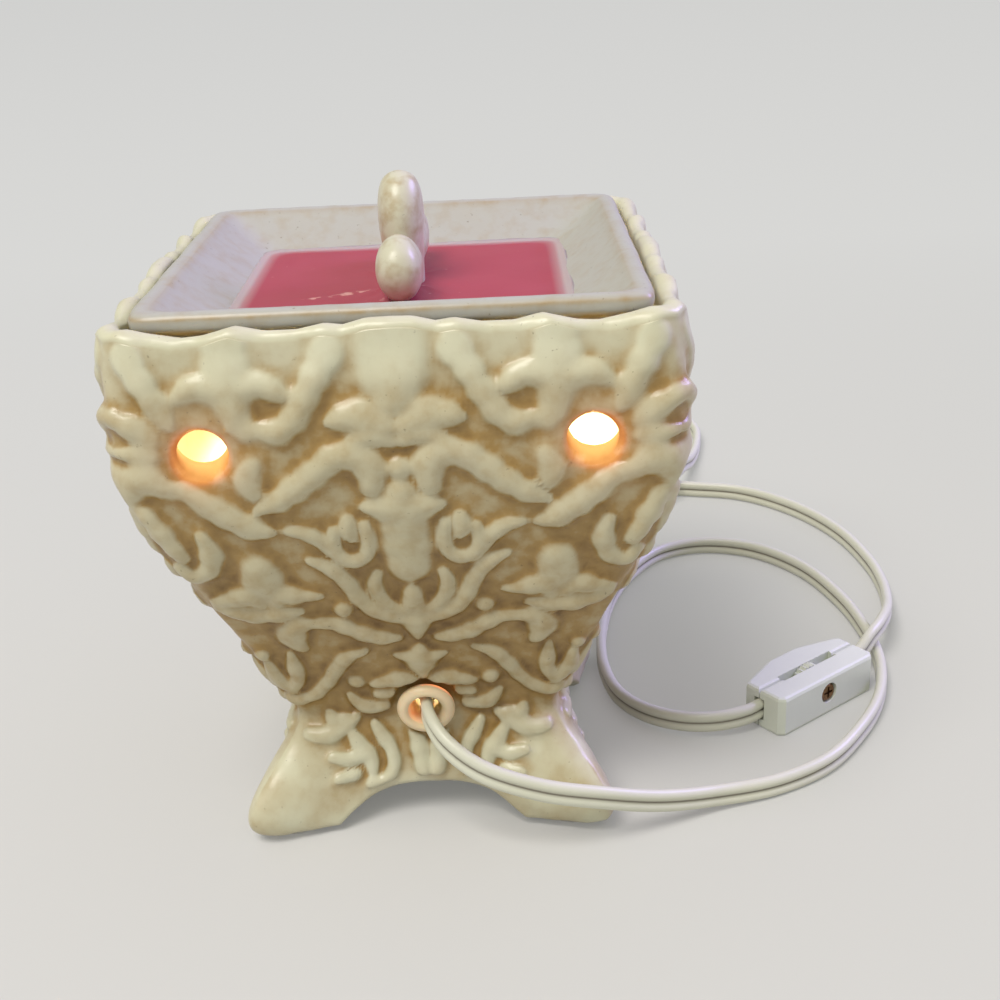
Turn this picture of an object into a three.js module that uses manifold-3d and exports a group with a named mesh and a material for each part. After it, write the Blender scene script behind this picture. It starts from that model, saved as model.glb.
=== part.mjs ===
// Electric wax warmer: a square bombe ceramic body on four feet, a lift-off wax dish with a handle,
// a small screw-in bulb below it, and a flat two-core lead with an inline thumb-wheel switch and a plug.
// Millimetres, +Z up, the face with the lead looks along -Y, the feet rest on z = 0.
import * as THREE from "three";
import { mergeVertices } from "three/addons/utils/BufferGeometryUtils.js";
import Module from "manifold-3d";

const wasm = await Module();
wasm.setup();

// Shared clearances
const CLEARANCE = 0.3;
const THREAD_CLEARANCE = 0.45;

// Ceramic body
const RIM_HEIGHT = 138;
const RIM_HALF = 61.8;
const RIM_ROUND = 2.2;
const BELLY_HALF = 62.6;
const BELLY_HEIGHT = 118;
const WAIST_HALF = 34;
const WAIST_HEIGHT = 31;
const SKIRT_HALF = 41;
const FOOT_REACH = 47.6;
const FOOT_HEIGHT = 6.5;
const TOE_TUCK = 3.6;
const WALL = 5;
const CORNER_POWER = 20;
const ARCH_SPAN = 53;
const ARCH_HEIGHT = 12.4;
const FOOT_INNER_HALF = 26;
const PAD_RADIUS = 5.5;
const PAD_THICKNESS = 1;
const PAD_CENTRE = 35.5;
const FLOOR_UNDERSIDE = 15;
const FLOOR_THICKNESS = 4.5;
const LIGHT_HOLE_DIAMETER = 12;
const LIGHT_HOLE_OFFSET = 41.7;
const LIGHT_HOLE_DROP = 26.5;
const LEDGE_LENGTH = 40;
const LEDGE_HEIGHT = 8;
const LEDGE_OVERLAP = 4;
const RELIEF_DEPTH = 2.2;
const RELIEF_GROUND = 0.8;
const RELIEF_LOW = 40;
const RELIEF_HIGH = 127;
const FACET_TOLERANCE = 0.06;

// Wax dish and handle
const DISH_RIM_GAP = 1.4;
const DISH_LIP_RISE = 2.5;
const DISH_LIP_WIDTH = 4.2;
const DISH_LIP_DEPTH = 4.4;
const DISH_SEAT_DROP = 13;
const DISH_SEAT_WIDTH = 5.2;
const DISH_FLOOR_HALF = 31;
const DISH_BOWL_DEPTH = 14.5;
const DISH_THICKNESS = 4.2;
const WAX_DROP = 9;
const HANDLE_THICKNESS = 11;
const HANDLE_ROUND = 2.7;
const HANDLE_RISE = 18;
const HANDLE_REACH = 27;

// Lampholder
const STEM_RADIUS = 4.8;
const STEM_BORE = 3;
const STEM_FLANGE_RADIUS = 7.5;
const STEM_FLANGE = 1.5;
const STEM_TAIL = 4.9;
const GASKET_RADIUS = 11;
const GASKET_THICKNESS = 1.2;
const WASHER_RADIUS = 9;
const WASHER_THICKNESS = 1.3;
const NUT_ACROSS_FLATS = 14;
const NUT_THICKNESS = 2.5;
const HOLDER_RADIUS = 13;
const HOLDER_WALL = 2;
const HOLDER_CAP_HEIGHT = 10;
const HOLDER_CAP_FLOOR = 2.2;
const HOLDER_SKIRT = 2.4;
const HOLDER_WEB = 3;
const SOCKET_DEPTH = 19;
const SHELL_WALL = 0.6;
const OUTLET_WIDTH = 7.4;
const CONTACT_RADIUS = 3;
const CONTACT_HEIGHT = 3.6;
const RIVET_RADIUS = 1.2;
const TERMINAL_OFFSET = 6.5;
const TERMINAL_HEAD_RADIUS = 2.1;
const TERMINAL_HEAD = 1.8;

// Bulb with a 12 mm screw cap
const THREAD_PITCH = 2.54;
const THREAD_MEAN_RADIUS = 5.65;
const THREAD_DEPTH = 0.3;
const CAP_WALL = 0.5;
const CAP_HEIGHT = 15.4;
const CAP_COLLAR = 3;
const TIP_HEIGHT = 1.4;
const TIP_RADIUS = 2.2;
const INSULATOR_HEIGHT = 3;
const GLASS_RADIUS = 13.2;
const GLASS_HEIGHT = 39;
const GLASS_WALL = 0.8;
const NECK_LENGTH = 9;
const FILAMENT_HALF = 6.5;
const FILAMENT_DIAMETER = 0.7;

// Flat two-core lead
const CORD_THICKNESS = 3;
const CORD_WIDTH = 6;
const CORD_REST = CORD_WIDTH / 2 + 0.2;
const CORD_FIT = 0.3;
const LEAD_DIAMETER = 2.4;
const GLAND_HEIGHT = 32.7;
const GLAND_BORE = 7.8;
const GLAND_RADIUS = 7.2;
const GLAND_FLANGE = 3.2;
const GLAND_NECK = 4.6;
const GLAND_INNER_RADIUS = 6.2;
const GLAND_INNER_FLANGE = 2;
const COIL_X = -6;
const COIL_Y = 111;
const COIL_RADIUS = 38;
const COIL_TURNS = 3;
const COIL_PITCH = CORD_THICKNESS + 3.6;
const COIL_LAYER = CORD_WIDTH + 0.5;
const COIL_HEIGHT = 4.3;
const TIE_ANGLE = 210;
const TIE_WIDTH = 4;
const TIE_THICKNESS = 0.8;

// Inline switch
const SWITCH_X = 105.6;
const SWITCH_Y = 11.6;
const SWITCH_HEADING = 37.4;
const SWITCH_LENGTH = 39.5;
const SWITCH_HEIGHT = 12;
const SWITCH_FRONT_DEPTH = 8.4;
const SWITCH_REAR_DEPTH = 9.5;
const SWITCH_END_DEPTH = 5.8;
const SWITCH_ROUND = 1;
const SWITCH_CORD_HEIGHT = 6;
const CHANNEL_DEPTH = 6.5;
const WHEEL_RADIUS = 5.6;
const WHEEL_THICKNESS = 2.2;
const WHEEL_HEIGHT = 6.8;
const WHEEL_TEETH = 24;
const POST_RADIUS = 2.1;
const SLOT_LENGTH = 22;
const SCREW_RADIUS = 1.2;
const SCREW_HEAD_RADIUS = 2.8;
const SCREW_HEAD = 1.8;
const SWITCH_NUT_FLATS = 5.5;
const SWITCH_NUT_THICKNESS = 2;
const CONTACT_STRIP = 0.8;

// Plug with two flat blades
const PLUG_X = -38;
const PLUG_Y = 149.5;
const PLUG_HEADING = 180;
const PLUG_LENGTH = 32;
const PLUG_HALF_WIDTH = 12.2;
const PLUG_THICKNESS = 13;
const PLUG_ROUND = 1.8;
const PLUG_HEIGHT = 7;
const BLADE_SPACING = 12.7;
const BLADE_LENGTH = 17.5;
const BLADE_THICKNESS = 1.5;
const BLADE_LINE_WIDTH = 6.35;
const BLADE_NEUTRAL_WIDTH = 7.9;
const BLADE_ROOT = 7.5;

// Finishes
const GLAZE = { color: 0xd9cfae, roughness: 0.38, metalness: 0 };
const WAX = { color: 0xc9685f, roughness: 0.3, metalness: 0 };
const RUBBER = { color: 0xd8d5cc, roughness: 0.7, metalness: 0 };
const PHENOLIC = { color: 0x2b2723, roughness: 0.45, metalness: 0 };
const BRASS = { color: 0xb9924a, roughness: 0.3, metalness: 1 };
const STEEL = { color: 0xb7b9bc, roughness: 0.32, metalness: 1 };
const FIBRE = { color: 0x3a332c, roughness: 0.8, metalness: 0 };
const GLASS = { color: 0xf6ead2, roughness: 0.12, metalness: 0 };
const TUNGSTEN = { color: 0x8d8a86, roughness: 0.4, metalness: 1 };
const WHITE_PVC = { color: 0xe6e2d4, roughness: 0.42, metalness: 0 };
const BLACK_PVC = { color: 0x26241f, roughness: 0.5, metalness: 0 };

// Derived heights
const FOOT_BOTTOM = PAD_THICKNESS + CLEARANCE;
const FLOOR_TOP = FLOOR_UNDERSIDE + FLOOR_THICKNESS;
const DISH_LIP_TOP = RIM_HEIGHT + DISH_LIP_RISE;
const DISH_LIP_HALF = RIM_HALF - WALL - DISH_RIM_GAP;
const DISH_SEAT = DISH_LIP_TOP - DISH_SEAT_DROP;
const DISH_FLOOR = DISH_LIP_TOP - DISH_BOWL_DEPTH;
const DISH_UNDERSIDE = DISH_FLOOR - DISH_THICKNESS;
const LEDGE_TOP = DISH_SEAT - CLEARANCE;
const LIGHT_HOLE_HEIGHT = RIM_HEIGHT - LIGHT_HOLE_DROP;
const GASKET_BOTTOM = FLOOR_TOP + CLEARANCE;
const HOLDER_CAP_BOTTOM = GASKET_BOTTOM + GASKET_THICKNESS + CLEARANCE;
const HOLDER_CAP_TOP = HOLDER_CAP_BOTTOM + HOLDER_CAP_HEIGHT;
const HOLDER_BOTTOM = HOLDER_CAP_TOP + CLEARANCE;
const WEB_BOTTOM = HOLDER_BOTTOM + HOLDER_SKIRT;
const WEB_TOP = WEB_BOTTOM + HOLDER_WEB;
const HOLDER_TOP = WEB_TOP + SOCKET_DEPTH;
const SHELL_BORE_RADIUS = THREAD_MEAN_RADIUS + THREAD_CLEARANCE;
const SHELL_OUTER_RADIUS = SHELL_BORE_RADIUS + THREAD_DEPTH + SHELL_WALL;
const CONTACT_TOP = WEB_TOP + CLEARANCE + CONTACT_HEIGHT;
const TIP_BOTTOM = CONTACT_TOP + CLEARANCE;
const INSULATOR_BOTTOM = TIP_BOTTOM + TIP_HEIGHT + CLEARANCE;
const CAP_BOTTOM = INSULATOR_BOTTOM + 0.6;
const CAP_TOP = CAP_BOTTOM + CAP_HEIGHT;
const GLASS_SEAM = CAP_TOP + CLEARANCE;
const WALL_FACE = WAIST_HALF - 0.2;

const TAU = Math.PI * 2;
const smooth = (f) => f * f * (3 - 2 * f);
const clamp01 = (f) => Math.min(1, Math.max(0, f));

// Solids and meshes
const assembly = new THREE.Group();

function facingOut(geometry) {
  const at = geometry.getAttribute("position");
  const order = geometry.index ? geometry.index.array : null;
  const count = order ? order.length : at.count;
  const a = new THREE.Vector3();
  const b = new THREE.Vector3();
  const c = new THREE.Vector3();
  let volume = 0;
  for (let i = 0; i < count; i += 3) {
    a.fromBufferAttribute(at, order ? order[i] : i);
    b.fromBufferAttribute(at, order ? order[i + 1] : i + 1);
    c.fromBufferAttribute(at, order ? order[i + 2] : i + 2);
    volume += a.dot(b.cross(c));
  }
  if (volume >= 0) return geometry;
  const turned = geometry.index ? geometry : mergeVertices(geometry);
  const list = turned.index.array;
  for (let i = 0; i < list.length; i += 3) {
    const kept = list[i + 1];
    list[i + 1] = list[i + 2];
    list[i + 2] = kept;
  }
  return turned;
}

function solidOf(geometry) {
  const plain = facingOut(geometry).clone();
  plain.deleteAttribute("normal");
  plain.deleteAttribute("uv");
  const merged = mergeVertices(plain, 1e-4);
  return new wasm.Manifold(
    new wasm.Mesh({
      numProp: 3,
      vertProperties: merged.attributes.position.array,
      triVerts: new Uint32Array(merged.index.array),
    }),
  );
}

function geometryOf(solid) {
  const mesh = solid.getMesh();
  const geometry = new THREE.BufferGeometry();
  geometry.setAttribute("position", new THREE.BufferAttribute(mesh.vertProperties, 3));
  geometry.setIndex(new THREE.BufferAttribute(mesh.triVerts, 1));
  return geometry;
}

function cut(geometry, cutters) {
  let solid = solidOf(geometry);
  for (const cutter of cutters) solid = solid.subtract(solidOf(cutter));
  return geometryOf(solid);
}

function join(geometry, others) {
  let solid = solidOf(geometry);
  for (const other of others) solid = solid.add(solidOf(other));
  return geometryOf(solid);
}

function place(name, geometry, finish, parent = assembly) {
  const mesh = new THREE.Mesh(facingOut(geometry), new THREE.MeshStandardMaterial(finish));
  mesh.name = name;
  parent.add(mesh);
  return mesh;
}

function lathe(profile, segments = 24) {
  const points = profile.map(([r, z]) => new THREE.Vector2(r, z));
  return new THREE.LatheGeometry(points, segments).rotateX(Math.PI / 2);
}

function ringLathe(profile, segments = 24) {
  return lathe([...profile, profile[0]], segments);
}

function drill(radius, length, axis, x, y, z, segments = 24) {
  const bar = new THREE.CylinderGeometry(radius, radius, length, segments);
  if (axis === "x") bar.rotateZ(Math.PI / 2);
  if (axis === "z") bar.rotateX(Math.PI / 2);
  return bar.translate(x, y, z);
}

function block(x0, x1, y0, y1, z0, z1) {
  const box = new THREE.BoxGeometry(x1 - x0, y1 - y0, z1 - z0);
  return box.translate((x0 + x1) / 2, (y0 + y1) / 2, (z0 + z1) / 2);
}

// A rounded square ring, counter-clockwise from above, whose corners may reach further than its faces.
function squareRing(z, face, corner = face, steps = 10) {
  const ring = [];
  for (let side = 0; side < 4; side += 1) {
    const turn = (side * Math.PI) / 2;
    for (let k = 0; k < steps; k += 1) {
      const t = Math.sin((k / steps - 0.5) * Math.PI);
      const bulge = smooth(clamp01((Math.abs(t) - 0.3) / 0.7));
      const reach = face + (corner - face) * bulge;
      const near = reach / Math.pow(1 + Math.pow(Math.abs(t), CORNER_POWER), 1 / CORNER_POWER);
      const x = t * near;
      const y = -near;
      ring.push([
        x * Math.cos(turn) - y * Math.sin(turn),
        x * Math.sin(turn) + y * Math.cos(turn),
        z,
      ]);
    }
  }
  return ring;
}

// A closed body through rings of equal length, with a fan over the first and the last ring.
function loft(rings) {
  const points = rings.flat(2);
  const n = rings[0].length;
  const index = [];
  for (let i = 0; i + 1 < rings.length; i += 1) {
    for (let k = 0; k < n; k += 1) {
      const a = i * n + k;
      const b = i * n + ((k + 1) % n);
      index.push(a, b, b + n, a, b + n, a + n);
    }
  }
  const last = (rings.length - 1) * n;
  const low = points.length / 3;
  const middle = (ring) => [0, 1, 2].map((j) => ring.reduce((sum, p) => sum + p[j], 0) / n);
  points.push(...middle(rings[0]), ...middle(rings[rings.length - 1]));
  for (let k = 0; k < n; k += 1) {
    const next = (k + 1) % n;
    index.push(low, next, k, low + 1, last + k, last + next);
  }
  const geometry = new THREE.BufferGeometry();
  geometry.setAttribute("position", new THREE.Float32BufferAttribute(points, 3));
  geometry.setIndex(index);
  return geometry;
}

// Ceramic body
function faceHalf(z) {
  if (z >= BELLY_HEIGHT) {
    const f = (z - BELLY_HEIGHT) / (RIM_HEIGHT - BELLY_HEIGHT);
    return BELLY_HALF - (BELLY_HALF - RIM_HALF) * f * f;
  }
  if (z >= WAIST_HEIGHT) {
    const f = (z - WAIST_HEIGHT) / (BELLY_HEIGHT - WAIST_HEIGHT);
    const swell = 0.62 * Math.sin((f * Math.PI) / 2) + 0.38 * smooth(f);
    return WAIST_HALF + (BELLY_HALF - WAIST_HALF) * swell;
  }
  const f = (WAIST_HEIGHT - z) / WAIST_HEIGHT;
  return WAIST_HALF + (SKIRT_HALF - WAIST_HALF) * f * f;
}

function cornerHalf(z) {
  if (z >= WAIST_HEIGHT) return faceHalf(z);
  const f = clamp01((WAIST_HEIGHT - z) / (WAIST_HEIGHT - FOOT_HEIGHT));
  const flare = WAIST_HALF + (FOOT_REACH - WAIST_HALF) * smooth(f);
  const toe = clamp01((FOOT_HEIGHT - z) / FOOT_HEIGHT);
  return Math.max(faceHalf(z), flare - TOE_TUCK * toe * toe);
}

function archway() {
  const shape = new THREE.Shape();
  const half = ARCH_SPAN / 2;
  shape.moveTo(-half, -1);
  for (let k = 0; k <= 16; k += 1) {
    const x = -half + (ARCH_SPAN * k) / 16;
    const rise = 1 - Math.pow(Math.abs(x) / half, 2.6);
    shape.lineTo(x, rise * ARCH_HEIGHT);
  }
  shape.lineTo(half, -1);
  const length = 2 * FOOT_REACH + 20;
  const tunnel = new THREE.ExtrudeGeometry(shape, { depth: length, bevelEnabled: false });
  return tunnel.translate(0, 0, -length / 2).rotateX(Math.PI / 2);
}

// Main leaves of the damask relief on the right half of a face: across, height and half width at each point.
const RELIEF = [
  [[0, 134, 5.6], [0, 121, 2]],
  [[1, 115.4, 2.4], [7, 117.6, 3.8], [14, 117.2, 1.2]],
  [[6.4, 103, 2], [9, 109.8, 3.2], [31.5, 97.8, 1.2]],
  [[46.5, 104.4, 1.8], [37, 96, 2.6], [28.4, 91.8, 1.2]],
  [[34, 135, 3.6], [33, 115, 1.8]],
  [[12.8, 133.4, 2.8], [20, 120.4, 2.6], [28, 116.6, 1.8]],
  [[23.4, 124.4, 1.6], [34, 127, 2.6], [44.6, 124.4, 1.6]],
  [[54, 133.4, 2.6], [47, 118.8, 1.8]],
  [[49, 103.4, 1.6], [54.5, 106, 3], [57.5, 101, 2.6]],
  [[0, 101.4, 2.2], [0, 95, 4.6], [0, 81, 3.6]],
  [[22, 83.6, 1.2], [12, 70.4, 2], [0.4, 63.4, 2.2]],
  [[44.6, 91.6, 1.4], [44.4, 82.6, 2], [50.8, 82.6, 1.4]],
  [[33.3, 83.6, 1.6], [33.3, 79.4, 4], [33.3, 73.6, 1.4]],
  [[20.8, 72, 1.2], [32, 70, 3.4], [45.8, 71.4, 1.2]],
  [[28.4, 55.4, 1.8], [26, 62.6, 2.6], [4.8, 57.6, 1.4]],
  [[13, 53, 1.2], [22, 45, 2], [33, 37.4, 1.5]],
  [[0, 54.6, 1.4], [0, 49.6, 3], [0, 43, 1]],
];

// How far the ground between the leaves is sunk below the face.
function groundDrop(z) {
  const low = smooth(clamp01((z - RELIEF_LOW) / 12));
  const high = smooth(clamp01((z - RELIEF_HIGH) / 8));
  return RELIEF_GROUND * low * (1 - high);
}

// A flat-backed leaf along a stroke, its foot sunk in the wall; hand -1 mirrors it, side turns it to a face.
function reliefLeaf(stroke, hand, side) {
  const last = stroke.length - 1;
  const turn = (side * Math.PI) / 2;
  const rings = stroke.map(([x, z, wide], k) => {
    const before = stroke[Math.max(0, k - 1)];
    const after = stroke[Math.min(last, k + 1)];
    const length = Math.hypot(after[0] - before[0], after[1] - before[1]);
    const across = (before[1] - after[1]) / length;
    const along = (after[0] - before[0]) / length;
    const fade = 1 - 0.5 * smooth(clamp01((z - RELIEF_HIGH) / 8));
    const crest = RELIEF_DEPTH * Math.min(1, 0.4 + 0.2 * wide) * fade;
    return [[1.55, -0.7], [1.05, crest], [-1.05, crest], [-1.55, -0.7]].map(([share, rise]) => {
      const height = z + share * wide * along;
      const px = hand * (x + share * wide * across);
      const py = groundDrop(height) - faceHalf(height) - rise;
      return [px * Math.cos(turn) - py * Math.sin(turn), px * Math.sin(turn) + py * Math.cos(turn), height];
    });
  });
  return loft(rings);
}

function relief() {
  const leaves = [];
  for (let side = 0; side < 4; side += 1) {
    for (const stroke of RELIEF) {
      leaves.push(reliefLeaf(stroke, 1, side));
      const central = stroke.every(([x]) => x === 0);
      if (!central) leaves.push(reliefLeaf(stroke, -1, side));
    }
  }
  return leaves;
}

function bodyShell() {
  const shoulder = RIM_HEIGHT - RIM_ROUND;
  const heights = [FOOT_BOTTOM, 3.6, FOOT_HEIGHT, 10, 14, 18, 22.5, 27, WAIST_HEIGHT];
  for (let k = 1; k <= 9; k += 1) {
    heights.push(WAIST_HEIGHT + ((shoulder - WAIST_HEIGHT) * k) / 9);
  }
  const columns = 8;
  const outer = heights.map((z) => {
    const drop = groundDrop(z);
    return squareRing(z, faceHalf(z) - drop, cornerHalf(z) - drop, columns);
  });
  outer.push(squareRing(RIM_HEIGHT - 0.6, RIM_HALF - 0.7, RIM_HALF - 0.7, columns));
  outer.push(squareRing(RIM_HEIGHT, RIM_HALF - RIM_ROUND, RIM_HALF - RIM_ROUND, columns));
  const inside = [];
  for (let k = 0; k <= 9; k += 1) {
    const z = FLOOR_TOP + ((shoulder - FLOOR_TOP) * k) / 9;
    inside.push(squareRing(z, faceHalf(z) - WALL, faceHalf(z) - WALL, columns));
  }
  const mouth = RIM_HALF - WALL + 1.2;
  inside.push(squareRing(RIM_HEIGHT + 0.2, mouth, mouth, columns));
  const recess = [-1, FLOOR_UNDERSIDE].map((z) => squareRing(z, FOOT_INNER_HALF));
  const cutters = [loft(inside), loft(recess), archway(), archway().rotateZ(Math.PI / 2)];
  cutters.push(drill(STEM_RADIUS + CLEARANCE, 20, "z", 0, 0, FLOOR_UNDERSIDE));
  const drillLength = 30;
  for (const side of [-1, 1]) {
    for (const hole of [-1, 1]) {
      const across = hole * LIGHT_HOLE_OFFSET;
      const out = side * BELLY_HALF;
      const radius = LIGHT_HOLE_DIAMETER / 2;
      cutters.push(drill(radius, drillLength, "y", across, out, LIGHT_HOLE_HEIGHT));
      cutters.push(drill(radius, drillLength, "x", out, across, LIGHT_HOLE_HEIGHT));
    }
  }
  cutters.push(drill(GLAND_NECK + CLEARANCE, drillLength, "y", 0, -WAIST_HALF, GLAND_HEIGHT));
  const spot = GLAND_RADIUS + CLEARANCE;
  cutters.push(drill(spot, 20, "y", 0, -WALL_FACE - 10, GLAND_HEIGHT));
  const carved = join(loft(outer), relief());
  const shell = cut(carved, cutters);
  const ledges = [];
  for (let side = 0; side < 4; side += 1) {
    const wall = faceHalf(LEDGE_TOP) - WALL;
    const tip = DISH_LIP_HALF - DISH_LIP_WIDTH / 2 - LEDGE_OVERLAP;
    const shape = new THREE.Shape();
    shape.moveTo(wall + 1.5, LEDGE_TOP);
    shape.lineTo(tip, LEDGE_TOP);
    shape.lineTo(tip, LEDGE_TOP - 3);
    shape.lineTo(wall + 1.5, LEDGE_TOP - 3 - LEDGE_HEIGHT);
    const bar = new THREE.ExtrudeGeometry(shape, { depth: LEDGE_LENGTH, bevelEnabled: false });
    bar.translate(0, 0, -LEDGE_LENGTH / 2).rotateX(Math.PI / 2);
    ledges.push(bar.rotateZ((side * Math.PI) / 2));
  }
  const whole = solidOf(join(shell, ledges));
  return geometryOf(whole.simplify(FACET_TOLERANCE));
}

place("body_shell", bodyShell(), GLAZE);

for (const [x, y, name] of [
  [-1, -1, "foot_pad_front_left"],
  [1, -1, "foot_pad_front_right"],
  [-1, 1, "foot_pad_rear_left"],
  [1, 1, "foot_pad_rear_right"],
]) {
  const pad = drill(PAD_RADIUS, PAD_THICKNESS, "z", x * PAD_CENTRE, y * PAD_CENTRE, PAD_THICKNESS / 2);
  place(name, pad, RUBBER);
}

// Dish, handle and wax
function bowl() {
  const lip = DISH_LIP_HALF;
  const top = DISH_LIP_TOP;
  const band = lip - 2.2;
  const seatInner = band - DISH_SEAT_WIDTH;
  const rings = [
    [DISH_FLOOR_HALF + 3, DISH_UNDERSIDE],
    [(DISH_FLOOR_HALF + 3 + seatInner) / 2 + 1, DISH_UNDERSIDE + 1.6],
    [seatInner, DISH_SEAT],
    [band - 0.4, DISH_SEAT],
    [band, DISH_SEAT + 1],
    [band, top - DISH_LIP_DEPTH - 0.6],
    [lip - 0.8, top - DISH_LIP_DEPTH + 0.2],
    [lip, top - DISH_LIP_DEPTH + 1.2],
    [lip, top - 1.3],
    [lip - 0.9, top - 0.3],
    [lip - DISH_LIP_WIDTH / 2, top],
    [lip - DISH_LIP_WIDTH, top - 0.4],
  ];
  const start = lip - DISH_LIP_WIDTH;
  for (let k = 1; k <= 6; k += 1) {
    const f = k / 6;
    const half = start - (start - DISH_FLOOR_HALF) * f;
    rings.push([half, top - 0.4 - (DISH_BOWL_DEPTH - 0.4) * Math.pow(f, 0.92)]);
  }
  return loft(rings.map(([half, z]) => squareRing(z, half, half, 10)));
}

function bowlHalf(z) {
  const f = Math.pow((DISH_LIP_TOP - 0.4 - z) / (DISH_BOWL_DEPTH - 0.4), 1 / 0.92);
  const start = DISH_LIP_HALF - DISH_LIP_WIDTH;
  return start - (start - DISH_FLOOR_HALF) * f;
}

// The handle's outline in the plane across the dish: a centre petal between two drooping side petals.
function handle(extra) {
  const top = DISH_LIP_TOP + HANDLE_RISE;
  const r = HANDLE_REACH;
  const half = [
    [0.25 * r, DISH_FLOOR - 2],
    [0.23 * r, DISH_FLOOR + 4],
    [0.36 * r, DISH_FLOOR + 5.4],
    [0.52 * r, DISH_FLOOR + 5.8],
    [0.71 * r, DISH_FLOOR + 5.3],
    [0.91 * r, DISH_FLOOR + 7.6],
    [r, DISH_FLOOR + 13.5],
    [0.92 * r, DISH_FLOOR + 19.2],
    [0.72 * r, DISH_FLOOR + 21.6],
    [0.53 * r, DISH_FLOOR + 20],
    [0.41 * r, DISH_FLOOR + 17],
    [0.32 * r, DISH_FLOOR + 16.6],
    [0.31 * r, top - 12],
    [0.31 * r, top - 8.4],
    [0.25 * r, top - 4],
    [0.12 * r, top - 0.9],
  ];
  const round = new THREE.SplineCurve(
    [...half, [0, top], ...half.map(([y, z]) => [-y, z]).reverse()].map(
      ([y, z]) => new THREE.Vector2(y, z),
    ),
  );
  const shape = new THREE.Shape(round.getPoints(52));
  const plate = new THREE.ExtrudeGeometry(shape, {
    depth: HANDLE_THICKNESS - 2 * HANDLE_ROUND,
    bevelThickness: HANDLE_ROUND + extra,
    bevelSize: HANDLE_ROUND + extra,
    bevelOffset: -HANDLE_ROUND,
    bevelSegments: 2,
  });
  plate.translate(0, 0, HANDLE_ROUND - HANDLE_THICKNESS / 2);
  const turn = new THREE.Matrix4().makeBasis(
    new THREE.Vector3(0, 1, 0),
    new THREE.Vector3(0, 0, 1),
    new THREE.Vector3(1, 0, 0),
  );
  return plate.applyMatrix4(turn);
}

function waxPool() {
  const bottom = DISH_FLOOR + CLEARANCE;
  const top = DISH_LIP_TOP - WAX_DROP;
  const rings = [];
  for (let k = 0; k <= 4; k += 1) {
    const z = bottom + ((top - bottom) * k) / 4;
    const half = bowlHalf(z) - 2 * CLEARANCE;
    rings.push(squareRing(z, half, half, 10));
  }
  return cut(loft(rings), [handle(CLEARANCE)]);
}

place("wax_dish", join(bowl(), [handle(0)]), GLAZE);
place("wax_pool", waxPool(), WAX);

// Lampholder, bottom to top
function hexNut(flats, bore, thickness) {
  const shape = new THREE.Shape();
  const corner = flats / 2 / Math.cos(Math.PI / 6);
  for (let k = 0; k < 6; k += 1) {
    const angle = (k * TAU) / 6;
    shape[k ? "lineTo" : "moveTo"](corner * Math.cos(angle), corner * Math.sin(angle));
  }
  shape.closePath();
  const hole = new THREE.Path();
  hole.absarc(0, 0, bore, 0, TAU, true);
  shape.holes.push(hole);
  const options = { depth: thickness, bevelEnabled: false, curveSegments: 12 };
  return new THREE.ExtrudeGeometry(shape, options);
}

function ringPlate(inner, outer, bottom, thickness) {
  return ringLathe([
    [inner, bottom],
    [outer, bottom],
    [outer, bottom + thickness],
    [inner, bottom + thickness],
  ]);
}

const stemHole = STEM_RADIUS + CLEARANCE;
const washerBottom = FLOOR_UNDERSIDE - CLEARANCE - WASHER_THICKNESS;
const nutBottom = washerBottom - CLEARANCE - NUT_THICKNESS;
const flangeBottom = HOLDER_CAP_BOTTOM + HOLDER_CAP_FLOOR + CLEARANCE;
const stemBottom = FLOOR_UNDERSIDE - STEM_TAIL;

place("stem_gasket", ringPlate(stemHole, GASKET_RADIUS, GASKET_BOTTOM, GASKET_THICKNESS), FIBRE);
place("stem_washer", ringPlate(stemHole, WASHER_RADIUS, washerBottom, WASHER_THICKNESS), STEEL);
place("stem_nut", hexNut(NUT_ACROSS_FLATS, stemHole, NUT_THICKNESS).translate(0, 0, nutBottom), BRASS);
place(
  "lampholder_stem",
  ringLathe([
    [STEM_BORE, stemBottom],
    [STEM_RADIUS, stemBottom],
    [STEM_RADIUS, flangeBottom],
    [STEM_FLANGE_RADIUS, flangeBottom],
    [STEM_FLANGE_RADIUS, flangeBottom + STEM_FLANGE],
    [STEM_BORE, flangeBottom + STEM_FLANGE],
  ]),
  BRASS,
);

function holderCap() {
  const cup = ringLathe([
    [stemHole, HOLDER_CAP_BOTTOM],
    [HOLDER_RADIUS - 1, HOLDER_CAP_BOTTOM],
    [HOLDER_RADIUS, HOLDER_CAP_BOTTOM + 1],
    [HOLDER_RADIUS, HOLDER_CAP_TOP],
    [HOLDER_RADIUS - HOLDER_WALL, HOLDER_CAP_TOP],
    [HOLDER_RADIUS - HOLDER_WALL, HOLDER_CAP_BOTTOM + HOLDER_CAP_FLOOR],
    [stemHole, HOLDER_CAP_BOTTOM + HOLDER_CAP_FLOOR],
  ]);
  const half = OUTLET_WIDTH / 2;
  const sill = flangeBottom + STEM_FLANGE;
  return cut(cup, [block(-half, half, -HOLDER_RADIUS - 2, -6, sill, HOLDER_CAP_TOP + 1)]);
}

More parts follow.
